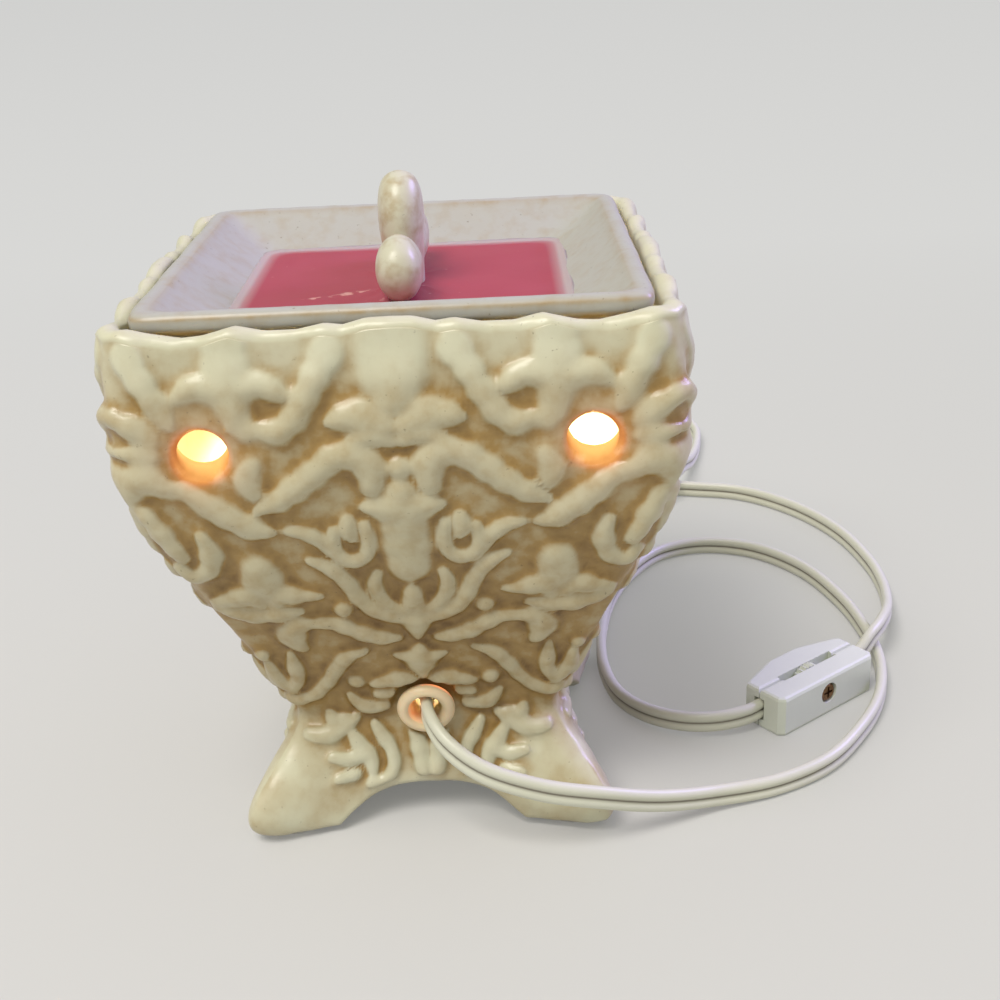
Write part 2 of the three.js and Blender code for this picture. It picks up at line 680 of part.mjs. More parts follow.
function holderBody() {
  const bore = SHELL_OUTER_RADIUS + CLEARANCE;
  const neck = bore + 2.4;
  const tube = ringLathe([
    [RIVET_RADIUS + CLEARANCE, WEB_BOTTOM],
    [HOLDER_RADIUS - HOLDER_WALL, WEB_BOTTOM],
    [HOLDER_RADIUS - HOLDER_WALL, HOLDER_BOTTOM],
    [HOLDER_RADIUS, HOLDER_BOTTOM],
    [HOLDER_RADIUS, WEB_TOP - 1],
    [neck, WEB_TOP + 3],
    [neck, HOLDER_TOP - 0.8],
    [neck - 0.8, HOLDER_TOP],
    [bore, HOLDER_TOP],
    [bore, WEB_TOP],
    [RIVET_RADIUS + CLEARANCE, WEB_TOP],
  ]);
  const hole = RIVET_RADIUS + CLEARANCE;
  const depth = 2 * (HOLDER_WEB - 1);
  return cut(tube, [
    drill(hole, depth, "z", -TERMINAL_OFFSET, 0, WEB_BOTTOM, 12),
    drill(hole, depth, "z", TERMINAL_OFFSET, 0, WEB_BOTTOM, 12),
  ]);
}

place("lampholder_cap", holderCap(), PHENOLIC);
place("lampholder_body", holderBody(), PHENOLIC);

const headTop = WEB_BOTTOM - CLEARANCE;
const headBottom = headTop - TERMINAL_HEAD;
place(
  "centre_contact",
  lathe(
    [
      [0, headTop - 1.1],
      [RIVET_RADIUS + 1, headTop - 1.1],
      [RIVET_RADIUS + 1, headTop],
      [RIVET_RADIUS, headTop],
      [RIVET_RADIUS, WEB_TOP + CLEARANCE],
      [CONTACT_RADIUS, WEB_TOP + CLEARANCE],
      [CONTACT_RADIUS, WEB_TOP + CLEARANCE + 0.8],
      [CONTACT_RADIUS * 0.5, CONTACT_TOP - 0.6],
      [0, CONTACT_TOP],
    ],
    16,
  ),
  BRASS,
);

for (const [side, name] of [
  [-1, "terminal_screw_line"],
  [1, "terminal_screw_neutral"],
]) {
  const screw = lathe(
    [
      [0, headBottom],
      [TERMINAL_HEAD_RADIUS - 0.4, headBottom],
      [TERMINAL_HEAD_RADIUS, headBottom + 0.5],
      [TERMINAL_HEAD_RADIUS, headTop],
      [RIVET_RADIUS, headTop],
      [RIVET_RADIUS, WEB_BOTTOM + HOLDER_WEB - 1 - CLEARANCE],
      [0, WEB_BOTTOM + HOLDER_WEB - 1 - CLEARANCE],
    ],
    16,
  );
  place(name, screw.translate(side * TERMINAL_OFFSET, 0, 0), STEEL);
}

// A thin threaded tube: both surfaces follow one right-hand helix between two plain ends.
function threadedTube(inner, outer, bottom, top, from, to) {
  const around = 16;
  const rows = Math.round(((top - bottom) / THREAD_PITCH) * 4);
  const ringAt = (radius, z) => {
    const ring = [];
    const fade = clamp01((z - from) / THREAD_PITCH) * clamp01((to - z) / THREAD_PITCH);
    for (let k = 0; k < around; k += 1) {
      const angle = (k * TAU) / around;
      const wave = Math.cos(angle - (TAU * z) / THREAD_PITCH) * THREAD_DEPTH * fade;
      const r = radius + wave;
      ring.push([r * Math.cos(angle), r * Math.sin(angle), z]);
    }
    return ring;
  };
  const rings = [];
  for (let i = 0; i <= rows; i += 1) rings.push(ringAt(outer, bottom + ((top - bottom) * i) / rows));
  for (let i = rows; i >= 0; i -= 1) rings.push(ringAt(inner, bottom + ((top - bottom) * i) / rows));
  const points = rings.flat(2);
  const index = [];
  for (let i = 0; i < rings.length; i += 1) {
    const next = (i + 1) % rings.length;
    for (let k = 0; k < around; k += 1) {
      const a = i * around + k;
      const b = i * around + ((k + 1) % around);
      const c = next * around + ((k + 1) % around);
      const d = next * around + k;
      index.push(a, b, c, a, c, d);
    }
  }
  const geometry = new THREE.BufferGeometry();
  geometry.setAttribute("position", new THREE.Float32BufferAttribute(points, 3));
  geometry.setIndex(index);
  return geometry;
}

const shellBottom = WEB_TOP + CLEARANCE;
const shellTop = HOLDER_TOP - 0.8;
place(
  "socket_screw_shell",
  threadedTube(
    SHELL_BORE_RADIUS,
    SHELL_BORE_RADIUS + SHELL_WALL,
    shellBottom,
    shellTop,
    shellBottom + 2,
    shellTop + THREAD_PITCH,
  ),
  BRASS,
);

// Bulb
const capInner = THREAD_MEAN_RADIUS - CAP_WALL;
place(
  "bulb_cap",
  threadedTube(
    capInner,
    THREAD_MEAN_RADIUS,
    CAP_BOTTOM,
    CAP_TOP,
    CAP_BOTTOM - THREAD_PITCH / 2,
    CAP_TOP - CAP_COLLAR + THREAD_PITCH / 2,
  ),
  BRASS,
);
const insulatorRadius = capInner - THREAD_DEPTH - CLEARANCE;
place(
  "bulb_cap_insulator",
  lathe(
    [
      [0, INSULATOR_BOTTOM],
      [TIP_RADIUS + 0.4, INSULATOR_BOTTOM],
      [insulatorRadius, INSULATOR_BOTTOM + 1.2],
      [insulatorRadius, INSULATOR_BOTTOM + INSULATOR_HEIGHT],
      [0, INSULATOR_BOTTOM + INSULATOR_HEIGHT],
    ],
    20,
  ),
  FIBRE,
);
place(
  "bulb_tip",
  lathe(
    [
      [0, TIP_BOTTOM],
      [TIP_RADIUS * 0.6, TIP_BOTTOM + 0.2],
      [TIP_RADIUS, TIP_BOTTOM + 0.8],
      [TIP_RADIUS, TIP_BOTTOM + TIP_HEIGHT],
      [0, TIP_BOTTOM + TIP_HEIGHT],
    ],
    16,
  ),
  STEEL,
);

const neckRadius = capInner - THREAD_DEPTH - CLEARANCE;
const glassOutline = [
  [neckRadius, GLASS_SEAM - NECK_LENGTH],
  [neckRadius, GLASS_SEAM],
  [neckRadius + 1, GLASS_SEAM + 0.05 * GLASS_HEIGHT],
  [0.56 * GLASS_RADIUS, GLASS_SEAM + 0.19 * GLASS_HEIGHT],
  [0.83 * GLASS_RADIUS, GLASS_SEAM + 0.38 * GLASS_HEIGHT],
  [0.98 * GLASS_RADIUS, GLASS_SEAM + 0.54 * GLASS_HEIGHT],
  [GLASS_RADIUS, GLASS_SEAM + 0.64 * GLASS_HEIGHT],
  [0.93 * GLASS_RADIUS, GLASS_SEAM + 0.77 * GLASS_HEIGHT],
  [0.72 * GLASS_RADIUS, GLASS_SEAM + 0.89 * GLASS_HEIGHT],
  [0.4 * GLASS_RADIUS, GLASS_SEAM + 0.97 * GLASS_HEIGHT],
];
const glassInside = glassOutline
  .map(([r, z]) => [r - GLASS_WALL, z])
  .reverse();
place(
  "bulb_glass",
  lathe([
    ...glassOutline,
    [0, GLASS_SEAM + GLASS_HEIGHT],
    [0, GLASS_SEAM + GLASS_HEIGHT - GLASS_WALL],
    ...glassInside,
    glassOutline[0],
  ]),
  GLASS,
);

const mountBottom = GLASS_SEAM - NECK_LENGTH + 1;
const mountTop = GLASS_SEAM + 0.16 * GLASS_HEIGHT;
const mountFlare = neckRadius - GLASS_WALL - CLEARANCE;
place(
  "bulb_mount",
  lathe(
    [
      [0, mountBottom],
      [mountFlare, mountBottom],
      [mountFlare, mountBottom + 2],
      [1.6, mountBottom + 5],
      [1.6, mountTop - 1.6],
      [2.2, mountTop - 1],
      [2.2, mountTop],
      [0, mountTop],
    ],
    16,
  ),
  GLASS,
);

function wireSection(diameter, sides) {
  const shape = new THREE.Shape();
  for (let k = 0; k < sides; k += 1) {
    const angle = (k * TAU) / sides;
    const x = (diameter / 2) * Math.cos(angle);
    const y = (diameter / 2) * Math.sin(angle);
    shape[k ? "lineTo" : "moveTo"](x, y);
  }
  shape.closePath();
  return shape;
}

const filamentFoot = mountTop + CLEARANCE;
const filamentTop = GLASS_SEAM + 0.5 * GLASS_HEIGHT;
const filamentRoute = new THREE.CatmullRomCurve3(
  [
    [-1.2, filamentFoot],
    [-1.5, filamentFoot + 2],
    [-0.6 * FILAMENT_HALF, (filamentFoot + filamentTop) / 2],
    [-FILAMENT_HALF, filamentTop - 2],
    [0, filamentTop],
    [FILAMENT_HALF, filamentTop - 2],
    [0.6 * FILAMENT_HALF, (filamentFoot + filamentTop) / 2],
    [1.5, filamentFoot + 2],
    [1.2, filamentFoot],
  ].map(([x, z]) => new THREE.Vector3(x, 0, z)),
);
place(
  "bulb_filament",
  new THREE.ExtrudeGeometry(wireSection(FILAMENT_DIAMETER, 6), {
    steps: 32,
    extrudePath: filamentRoute,
  }),
  TUNGSTEN,
);

// Gland ring in the front wall
const glandOuterFace = WALL_FACE + CLEARANCE;
const glandInnerFace = WAIST_HALF - WALL - CLEARANCE;
const glandBore = GLAND_BORE / 2;
place(
  "cord_gland",
  ringLathe([
    [glandBore, glandInnerFace - GLAND_INNER_FLANGE],
    [GLAND_INNER_RADIUS, glandInnerFace - GLAND_INNER_FLANGE],
    [GLAND_INNER_RADIUS, glandInnerFace],
    [GLAND_NECK, glandInnerFace],
    [GLAND_NECK, glandOuterFace],
    [GLAND_RADIUS, glandOuterFace],
    [GLAND_RADIUS, glandOuterFace + GLAND_FLANGE * 0.45],
    [GLAND_RADIUS - 1, glandOuterFace + GLAND_FLANGE * 0.88],
    [(GLAND_RADIUS + glandBore) / 2, glandOuterFace + GLAND_FLANGE],
    [glandBore + 0.6, glandOuterFace + GLAND_FLANGE * 0.8],
    [glandBore, glandOuterFace + GLAND_FLANGE * 0.4],
  ])
    .rotateX(Math.PI / 2)
    .translate(0, 0, GLAND_HEIGHT),
  WHITE_PVC,
);

// Routes for the flat lead, whose section stays upright along its way.
class UprightRoute extends THREE.CatmullRomCurve3 {
  computeFrenetFrames(segments) {
    return uprightFrames(this, segments);
  }
}

function uprightFrames(route, segments) {
  const tangents = [];
  const normals = [];
  const binormals = [];
  const up = new THREE.Vector3(0, 0, 1);
  for (let i = 0; i <= segments; i += 1) {
    const tangent = route.getTangentAt(i / segments);
    const normal = new THREE.Vector3().crossVectors(tangent, up).normalize();
    tangents.push(tangent);
    normals.push(normal);
    binormals.push(new THREE.Vector3().crossVectors(tangent, normal));
  }
  return { tangents, normals, binormals };
}

function cordSection(sides) {
  const shape = new THREE.Shape();
  for (let k = 0; k < sides; k += 1) {
    const angle = ((k + 0.5) * TAU) / sides;
    const x = (CORD_THICKNESS / 2) * Math.cos(angle);
    const y = (CORD_WIDTH / 2) * Math.sin(angle);
    shape[k ? "lineTo" : "moveTo"](x, y);
  }
  shape.closePath();
  return shape;
}

function cordAlong(route, steps, sides) {
  return new THREE.ExtrudeGeometry(cordSection(sides), { steps, extrudePath: route });
}

const switchTurn = THREE.MathUtils.degToRad(SWITCH_HEADING);
const switchEnd = SWITCH_LENGTH / 2;
function switchPoint(along, z) {
  const x = SWITCH_X + along * Math.cos(switchTurn);
  const y = SWITCH_Y + along * Math.sin(switchTurn);
  return [x, y, z];
}

const insideEnd = switchEnd - CHANNEL_DEPTH + 2 * CORD_FIT;
const cordInnerEnd = glandInnerFace - GLAND_INNER_FLANGE - 1;
const toSwitch = [
  [0, -cordInnerEnd, GLAND_HEIGHT],
  [0, -glandOuterFace, GLAND_HEIGHT],
  [1, -glandOuterFace - 7, GLAND_HEIGHT - 0.4],
  [5, -47.6, 29],
  [13, -52, 24.2],
  [27, -53.5, 19],
  [41.8, -51.2, 14.4],
  [57, -45.4, 8.6],
  [73, -38.2, 4.4],
  [89.5, -32.6, CORD_REST],
  [104.4, -23.6, CORD_REST],
  [117.2, -8, CORD_REST],
  [124.4, 4.5, CORD_REST],
  [128.8, 17, CORD_REST],
  [131.2, 31.1, CORD_REST],
  [131.3, 46, CORD_REST],
  [128.9, 67.1, CORD_REST],
  [120.7, 92.1, CORD_REST],
  [106.6, 108.6, CORD_REST],
  [89.7, 113.8, CORD_REST],
  [75.1, 109, CORD_REST],
  [63, 94, CORD_REST],
  [55, 75.5, CORD_REST],
  [51, 58.2, CORD_REST],
  [49.2, 43, CORD_REST],
  [49.2, 28.5, CORD_REST],
  [52, 14.6, CORD_REST],
  [58.6, 3.8, 3.8],
  [68.2, -3, 4.6],
  [78, -5, 5.4],
  switchPoint(-switchEnd - 4.5, SWITCH_CORD_HEIGHT),
  switchPoint(-switchEnd, SWITCH_CORD_HEIGHT),
  switchPoint(-insideEnd, SWITCH_CORD_HEIGHT),
];

const coilTop = COIL_Y + COIL_RADIUS;
const coilLead = CORD_WIDTH;
const toCoil = [
  switchPoint(insideEnd, SWITCH_CORD_HEIGHT),
  switchPoint(switchEnd, SWITCH_CORD_HEIGHT),
  switchPoint(switchEnd + 4.5, 7.4),
  [128.2, 29.6, 9.9],
  [132, 34.6, 10.6],
  [135.4, 41.2, 10],
  [138.6, 49.4, 8.2],
  [142.2, 62.7, 5],
  [144.6, 77, CORD_REST],
  [144.6, 93, CORD_REST],
  [139.6, 120.4, CORD_REST],
  [127.9, 143.6, CORD_REST],
  [111.7, 159.4, CORD_REST],
  [93.3, 165.5, CORD_REST],
  [73, 170.5, CORD_REST],
  [55, 185, CORD_REST],
  [46.5, 208, CORD_REST],
  [51, 232, CORD_REST],
  [66, 250, CORD_REST],
  [85, 255, CORD_REST],
  [99.4, 245.6, CORD_REST],
  [104, 228, CORD_REST],
  [101.6, 209, CORD_REST],
  [97, 192, 4.6],
  [92.4, 178, 8.4],
  [87.8, 166, 10.2],
  [81.6, 156, 8.4],
  [72, 148.6, 5],
  [58, 144.6, COIL_HEIGHT],
  [40, 145, COIL_HEIGHT],
  [22, 147.8, COIL_HEIGHT],
  [COIL_X + coilLead + 6, coilTop, COIL_HEIGHT],
  [COIL_X + coilLead + CLEARANCE, coilTop, COIL_HEIGHT],
];

const plugTurn = THREE.MathUtils.degToRad(PLUG_HEADING);
const plugEntry = 4.4;
const upperLayer = COIL_HEIGHT + COIL_LAYER;
function plugPoint(along, z) {
  return [PLUG_X + along * Math.cos(plugTurn), PLUG_Y + along * Math.sin(plugTurn), z];
}
const toPlug = [
  [COIL_X - coilLead - CLEARANCE, coilTop, upperLayer],
  [COIL_X - coilLead - 6, coilTop, upperLayer - 0.6],
  [COIL_X - coilLead - 14, coilTop + 0.2, upperLayer - 2.6],
  plugPoint(-4, PLUG_HEIGHT),
  plugPoint(0, PLUG_HEIGHT),
  plugPoint(plugEntry, PLUG_HEIGHT),
];

const routeOf = (list) => new UprightRoute(list.map((p) => new THREE.Vector3(...p)), false, "centripetal");
const switchRoute = routeOf(toSwitch);
const coilRoute = routeOf(toCoil);
const plugRoute = routeOf(toPlug);
place("cord_to_switch", cordAlong(switchRoute, 70, 10), WHITE_PVC);
place("cord_to_coil", cordAlong(coilRoute, 76, 10), WHITE_PVC);
place("cord_to_plug", cordAlong(plugRoute, 8, 10), WHITE_PVC);

// The coil winds in on the lower layer, climbs in the half turn where it reverses, and winds out above.
function coilRadius(turn) {
  const fromEnd = Math.min(turn, COIL_TURNS - turn);
  return COIL_RADIUS - COIL_PITCH * Math.min(fromEnd, COIL_TURNS / 2 - 0.25);
}

class CoilRoute extends THREE.Curve {
  getPoint(t, target = new THREE.Vector3()) {
    const arc = COIL_TURNS * TAU * COIL_RADIUS;
    const total = arc + 2 * coilLead;
    const s = t * total - coilLead;
    if (s <= 0) return target.set(COIL_X - s, coilTop, COIL_HEIGHT);
    if (s >= arc) return target.set(COIL_X - (s - arc), coilTop, upperLayer);
    const turn = (s / arc) * COIL_TURNS;
    const radius = coilRadius(turn);
    const climb = smooth(clamp01((turn - COIL_TURNS / 2 + 0.25) / 0.5));
    const angle = Math.PI / 2 + turn * TAU;
    const x = COIL_X + radius * Math.cos(angle);
    const y = COIL_Y + radius * Math.sin(angle);
    return target.set(x, y, COIL_HEIGHT + COIL_LAYER * climb);
  }

  computeFrenetFrames(segments) {
    return uprightFrames(this, segments);
  }
}

const windings = new CoilRoute();
place("cord_coil", cordAlong(windings, 24 * COIL_TURNS + 4, 8), WHITE_PVC);

function leastCoilGap() {
  const points = windings.getSpacedPoints(480);
  const apart = Math.ceil((480 * 3 * CORD_WIDTH) / windings.getLength());
  let least = Infinity;
  for (let i = 0; i < points.length; i += 1) {
    for (let j = i + apart; j < points.length; j += 1) {
      const flat = Math.hypot(points[i].x - points[j].x, points[i].y - points[j].y);
      const beside = flat - CORD_THICKNESS;
      const above = Math.abs(points[i].z - points[j].z) - CORD_WIDTH;
      least = Math.min(least, Math.max(beside, above));
    }
  }
  return least;
}

const runs = [switchRoute, coilRoute, windings, plugRoute].map((route) => route.getLength());
const whole = runs.reduce((sum, run) => sum + run, 0) + SWITCH_LENGTH - 2 * CHANNEL_DEPTH;
console.log("lead lengths mm", runs.map((run) => run.toFixed(1)).join(" "), "whole", whole.toFixed(0));
console.log("least coil gap mm", leastCoilGap().toFixed(2));

// Two single leads from the flat lead's inner end to the terminals
for (const [side, name] of [
  [-1, "lead_line"],
  [1, "lead_neutral"],
]) {
  const start = GLAND_HEIGHT - (side * CORD_WIDTH) / 4;
  const sill = flangeBottom + STEM_FLANGE + LEAD_DIAMETER / 2 + 0.8;
  const route = new THREE.CatmullRomCurve3(
    [
      [0, -cordInnerEnd + CLEARANCE, start],
      [side * 0.9, -cordInnerEnd + 3.5, start - 0.3],
      [side * 1.9, -HOLDER_RADIUS - 4, (start + sill) / 2 + 0.4],
      [side * 2, -HOLDER_RADIUS + 1, sill],
      [side * 3, -6.4, sill - 0.2],
      [side * (TERMINAL_OFFSET - 0.7), -1.6, sill + 0.3],
      [side * TERMINAL_OFFSET, 0, headBottom - 1.6],
      [side * TERMINAL_OFFSET, 0, headBottom - CLEARANCE],
    ].map((p) => new THREE.Vector3(...p)),
    false,
    "centripetal",
  );
  const wire = new THREE.ExtrudeGeometry(wireSection(LEAD_DIAMETER, 8), { steps: 16, extrudePath: route });
  place(name, wire, side < 0 ? BLACK_PVC : WHITE_PVC);
}

// Tie round the coil
const tie = new THREE.Group();
const tieAngle = THREE.MathUtils.degToRad(TIE_ANGLE);
tie.position.set(COIL_X, COIL_Y, 0);
tie.rotation.z = tieAngle;
assembly.add(tie);
const strandRadii = [];
for (let turn = (TIE_ANGLE - 90) / 360; turn < COIL_TURNS; turn += 1) {
  strandRadii.push(coilRadius(turn));
}
const tieIn = Math.min(...strandRadii) - CORD_THICKNESS / 2 - CORD_FIT;
const tieOut = Math.max(...strandRadii) + CORD_THICKNESS / 2 + CORD_FIT;
const tieLow = COIL_HEIGHT - CORD_WIDTH / 2 - CORD_FIT;
const tieHigh = upperLayer + CORD_WIDTH / 2 + CORD_FIT;
const band = cut(
  block(
    tieIn - TIE_THICKNESS,
    tieOut + TIE_THICKNESS,
    -TIE_WIDTH / 2,
    TIE_WIDTH / 2,
    tieLow - TIE_THICKNESS,
    tieHigh + TIE_THICKNESS,
  ),
  [block(tieIn, tieOut, -TIE_WIDTH, TIE_WIDTH, tieLow, tieHigh)],
);
place("coil_tie", band, BLACK_PVC, tie);

// Inline switch: x along the lead, y across the seam, z up
const switchGroup = new THREE.Group();
switchGroup.position.set(SWITCH_X, SWITCH_Y, 0);
switchGroup.rotation.z = switchTurn;
assembly.add(switchGroup);

function roundedSlab(outline, height, round) {
  const shape = new THREE.Shape(outline.map(([x, y]) => new THREE.Vector2(x, y)));
  const slab = new THREE.ExtrudeGeometry(shape, {
    depth: height - 2 * round,
    bevelThickness: round,
    bevelSize: round,
    bevelOffset: -round,
    bevelSegments: 2,
  });
  return slab.translate(0, 0, round);
}

const wheelGap = WHEEL_THICKNESS / 2 + CLEARANCE;
const seam = CLEARANCE / 2;
function switchPockets() {
  const half = CORD_THICKNESS / 2 + CORD_FIT;
  const low = SWITCH_CORD_HEIGHT - CORD_WIDTH / 2 - CORD_FIT;
  const high = SWITCH_CORD_HEIGHT + CORD_WIDTH / 2 + CORD_FIT;
  const strip = CONTACT_STRIP / 2 + CLEARANCE;
  const inner = switchEnd - CHANNEL_DEPTH;
  const slot = SLOT_LENGTH / 2;
  const rim = WHEEL_RADIUS + CLEARANCE;
  return [
    block(-switchEnd - 2, -inner, -half, half, low, high),
    block(inner, switchEnd + 2, -half, half, low, high),
    block(-inner - 1, inner + 1, -strip, strip, low + 1, high - 1),
    drill(rim, 2 * wheelGap, "y", 0, 0, WHEEL_HEIGHT, 32),
    block(-slot, slot, -wheelGap, wheelGap, WHEEL_HEIGHT + 2, SWITCH_HEIGHT + 2),
  ];
}

const nutRadius = SWITCH_NUT_FLATS / 2 / Math.cos(Math.PI / 6) + CLEARANCE;
const headFloor = -SWITCH_FRONT_DEPTH + SCREW_HEAD + 2 * CLEARANCE;
const nutPocket = SWITCH_REAR_DEPTH - SWITCH_NUT_THICKNESS - 2 * CLEARANCE;
const screwHole = SCREW_RADIUS + CLEARANCE;

const frontOutline = [
  [-switchEnd, -SWITCH_FRONT_DEPTH + 1.6],
  [-switchEnd + 1.6, -SWITCH_FRONT_DEPTH],
  [switchEnd - 1.6, -SWITCH_FRONT_DEPTH],
  [switchEnd, -SWITCH_FRONT_DEPTH + 1.6],
  [switchEnd, -seam],
  [-switchEnd, -seam],
];
const shoulderAlong = SWITCH_LENGTH * 0.14;
const rearOutline = [
  [-switchEnd, seam],
  [switchEnd, seam],
  [switchEnd, SWITCH_END_DEPTH - 1],
  [switchEnd - 1.6, SWITCH_END_DEPTH],
  [shoulderAlong, SWITCH_REAR_DEPTH],
  [-shoulderAlong, SWITCH_REAR_DEPTH],
  [-switchEnd + 1.6, SWITCH_END_DEPTH],
  [-switchEnd, SWITCH_END_DEPTH - 1],
];
const screwBore = drill(screwHole, 40, "y", 0, 0, WHEEL_HEIGHT, 16);
const headBore = drill(
  SCREW_HEAD_RADIUS + CLEARANCE,
  20,
  "y",
  0,
  headFloor - 10,
  WHEEL_HEIGHT,
  20,
);
const nutBore = new THREE.CylinderGeometry(nutRadius, nutRadius, 20, 6).rotateY(Math.PI / 6);
nutBore.translate(0, nutPocket + 10, WHEEL_HEIGHT);
place(
  "switch_case_front",
  cut(roundedSlab(frontOutline, SWITCH_HEIGHT, SWITCH_ROUND), [...switchPockets(), screwBore, headBore]),
  WHITE_PVC,
  switchGroup,
);
const rearCase = cut(roundedSlab(rearOutline, SWITCH_HEIGHT, SWITCH_ROUND), switchPockets());
const postLength = 2 * wheelGap - CLEARANCE + 1;
const post = drill(POST_RADIUS, postLength, "y", 0, wheelGap + 1 - postLength / 2, WHEEL_HEIGHT, 20);
place(
  "switch_case_rear",
  cut(join(rearCase, [post]), [screwBore, nutBore]),
  WHITE_PVC,
  switchGroup,
);

function thumbWheel() {
  const shape = new THREE.Shape();
  const count = WHEEL_TEETH * 2;
  for (let k = 0; k < count; k += 1) {
    const angle = (k * TAU) / count;
    const r = k % 2 ? WHEEL_RADIUS - 0.55 : WHEEL_RADIUS;
    shape[k ? "lineTo" : "moveTo"](r * Math.cos(angle), r * Math.sin(angle));
  }
  shape.closePath();
  const hole = new THREE.Path();
  hole.absarc(0, 0, POST_RADIUS + CLEARANCE, 0, TAU, true);
  shape.holes.push(hole);
  const options = { depth: WHEEL_THICKNESS, bevelEnabled: false, curveSegments: 12 };
  const disc = new THREE.ExtrudeGeometry(shape, options);
  return disc.translate(0, 0, -WHEEL_THICKNESS / 2).rotateX(Math.PI / 2).translate(0, 0, WHEEL_HEIGHT);
}
place("switch_wheel", thumbWheel(), WHITE_PVC, switchGroup);

const headOut = -SWITCH_FRONT_DEPTH + CLEARANCE;
const headIn = headOut + SCREW_HEAD;
const screwTip = SWITCH_REAR_DEPTH - 2 * CLEARANCE;
const screwBlank = lathe(
  [
    [0, headOut],
    [SCREW_HEAD_RADIUS - 0.5, headOut],
    [SCREW_HEAD_RADIUS, headOut + 0.6],
    [SCREW_HEAD_RADIUS, headIn],
    [SCREW_RADIUS, headIn],
    [SCREW_RADIUS, screwTip],
    [0, screwTip],
  ],
  20,
).rotateX(-Math.PI / 2);
const recess = SCREW_HEAD_RADIUS * 0.62;
const switchScrew = cut(screwBlank.translate(0, 0, WHEEL_HEIGHT), [
  block(-recess, recess, headOut - 1, headOut + 0.9, WHEEL_HEIGHT - 0.35, WHEEL_HEIGHT + 0.35),
  block(-0.35, 0.35, headOut - 1, headOut + 0.9, WHEEL_HEIGHT - recess, WHEEL_HEIGHT + recess),
]);
place("switch_screw", switchScrew, STEEL, switchGroup);
const switchNut = hexNut(SWITCH_NUT_FLATS, screwHole, SWITCH_NUT_THICKNESS).rotateX(-Math.PI / 2);
place("switch_nut", switchNut.translate(0, nutPocket + CLEARANCE, WHEEL_HEIGHT), STEEL, switchGroup);

for (const [side, name] of [
  [-1, "switch_contact_in"],
  [1, "switch_contact_out"],
]) {
  const near = WHEEL_RADIUS + 2 * CLEARANCE;
  const far = switchEnd - CHANNEL_DEPTH - CLEARANCE;
  const low = SWITCH_CORD_HEIGHT - CORD_WIDTH / 2 + 1;
  const high = SWITCH_CORD_HEIGHT + CORD_WIDTH / 2 - 1;
  const strip = block(near, far, -CONTACT_STRIP / 2, CONTACT_STRIP / 2, low, high);
  if (side < 0) strip.rotateZ(Math.PI);
  place(name, strip, BRASS, switchGroup);
}

// Plug: x from the lead towards the blades, y across, z up
const plug = new THREE.Group();
plug.position.set(PLUG_X, PLUG_Y, 0);
plug.rotation.z = plugTurn;
assembly.add(plug);

const plugOutline = [
  [0, -4.6],
  [PLUG_LENGTH * 0.26, -5.6],
  [PLUG_LENGTH * 0.42, -PLUG_HALF_WIDTH * 0.84],
  [PLUG_LENGTH * 0.56, -PLUG_HALF_WIDTH],
  [PLUG_LENGTH - 3, -PLUG_HALF_WIDTH],
  [PLUG_LENGTH, -PLUG_HALF_WIDTH + 3],
];
const plugMirror = plugOutline.map(([x, y]) => [x, -y]).reverse();
const plugBlank = roundedSlab([...plugOutline, ...plugMirror], PLUG_THICKNESS, PLUG_ROUND);
plugBlank.translate(0, 0, PLUG_HEIGHT - PLUG_THICKNESS / 2);
const cordHalf = CORD_THICKNESS / 2 + CORD_FIT;
const cordHigh = CORD_WIDTH / 2 + CORD_FIT;
const plugCutters = [
  block(-1, plugEntry + CORD_FIT, -cordHalf, cordHalf, PLUG_HEIGHT - cordHigh, PLUG_HEIGHT + cordHigh),
];
const blades = [
  [-1, BLADE_LINE_WIDTH, "plug_blade_line"],
  [1, BLADE_NEUTRAL_WIDTH, "plug_blade_neutral"],
];
for (const [side, width] of blades) {
  const y = (side * BLADE_SPACING) / 2;
  const half = BLADE_THICKNESS / 2 + CLEARANCE;
  const high = width / 2 + CLEARANCE;
  const start = PLUG_LENGTH - BLADE_ROOT - CLEARANCE;
  plugCutters.push(
    block(start, PLUG_LENGTH + 1, y - half, y + half, PLUG_HEIGHT - high, PLUG_HEIGHT + high),
  );
}
place("plug_body", cut(plugBlank, plugCutters), WHITE_PVC, plug);

for (const [side, width, name] of blades) {
  const shape = new THREE.Shape();
  const start = PLUG_LENGTH - BLADE_ROOT;
  const end = PLUG_LENGTH + BLADE_LENGTH;
  const half = width / 2;
  shape.moveTo(start, -half);
  shape.lineTo(end - 2, -half);
  shape.lineTo(end, -half + 1.6);
  shape.lineTo(end, half - 1.6);
  shape.lineTo(end - 2, half);
  shape.lineTo(start, half);
  shape.closePath();
  const hole = new THREE.Path();
  hole.absarc(end - 4.5, 0, 1.6, 0, TAU, true);
  shape.holes.push(hole);
  const options = { depth: BLADE_THICKNESS, bevelEnabled: false, curveSegments: 10 };
  const blade = new THREE.ExtrudeGeometry(shape, options).translate(0, 0, -BLADE_THICKNESS / 2);
  blade.rotateX(Math.PI / 2).translate(0, (side * BLADE_SPACING) / 2, PLUG_HEIGHT);
  place(name, blade, BRASS, plug);
}

export default assembly;
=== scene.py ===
"""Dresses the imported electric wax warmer: glazed relief body, dish, wax, lamp glow, flat lead and switch."""

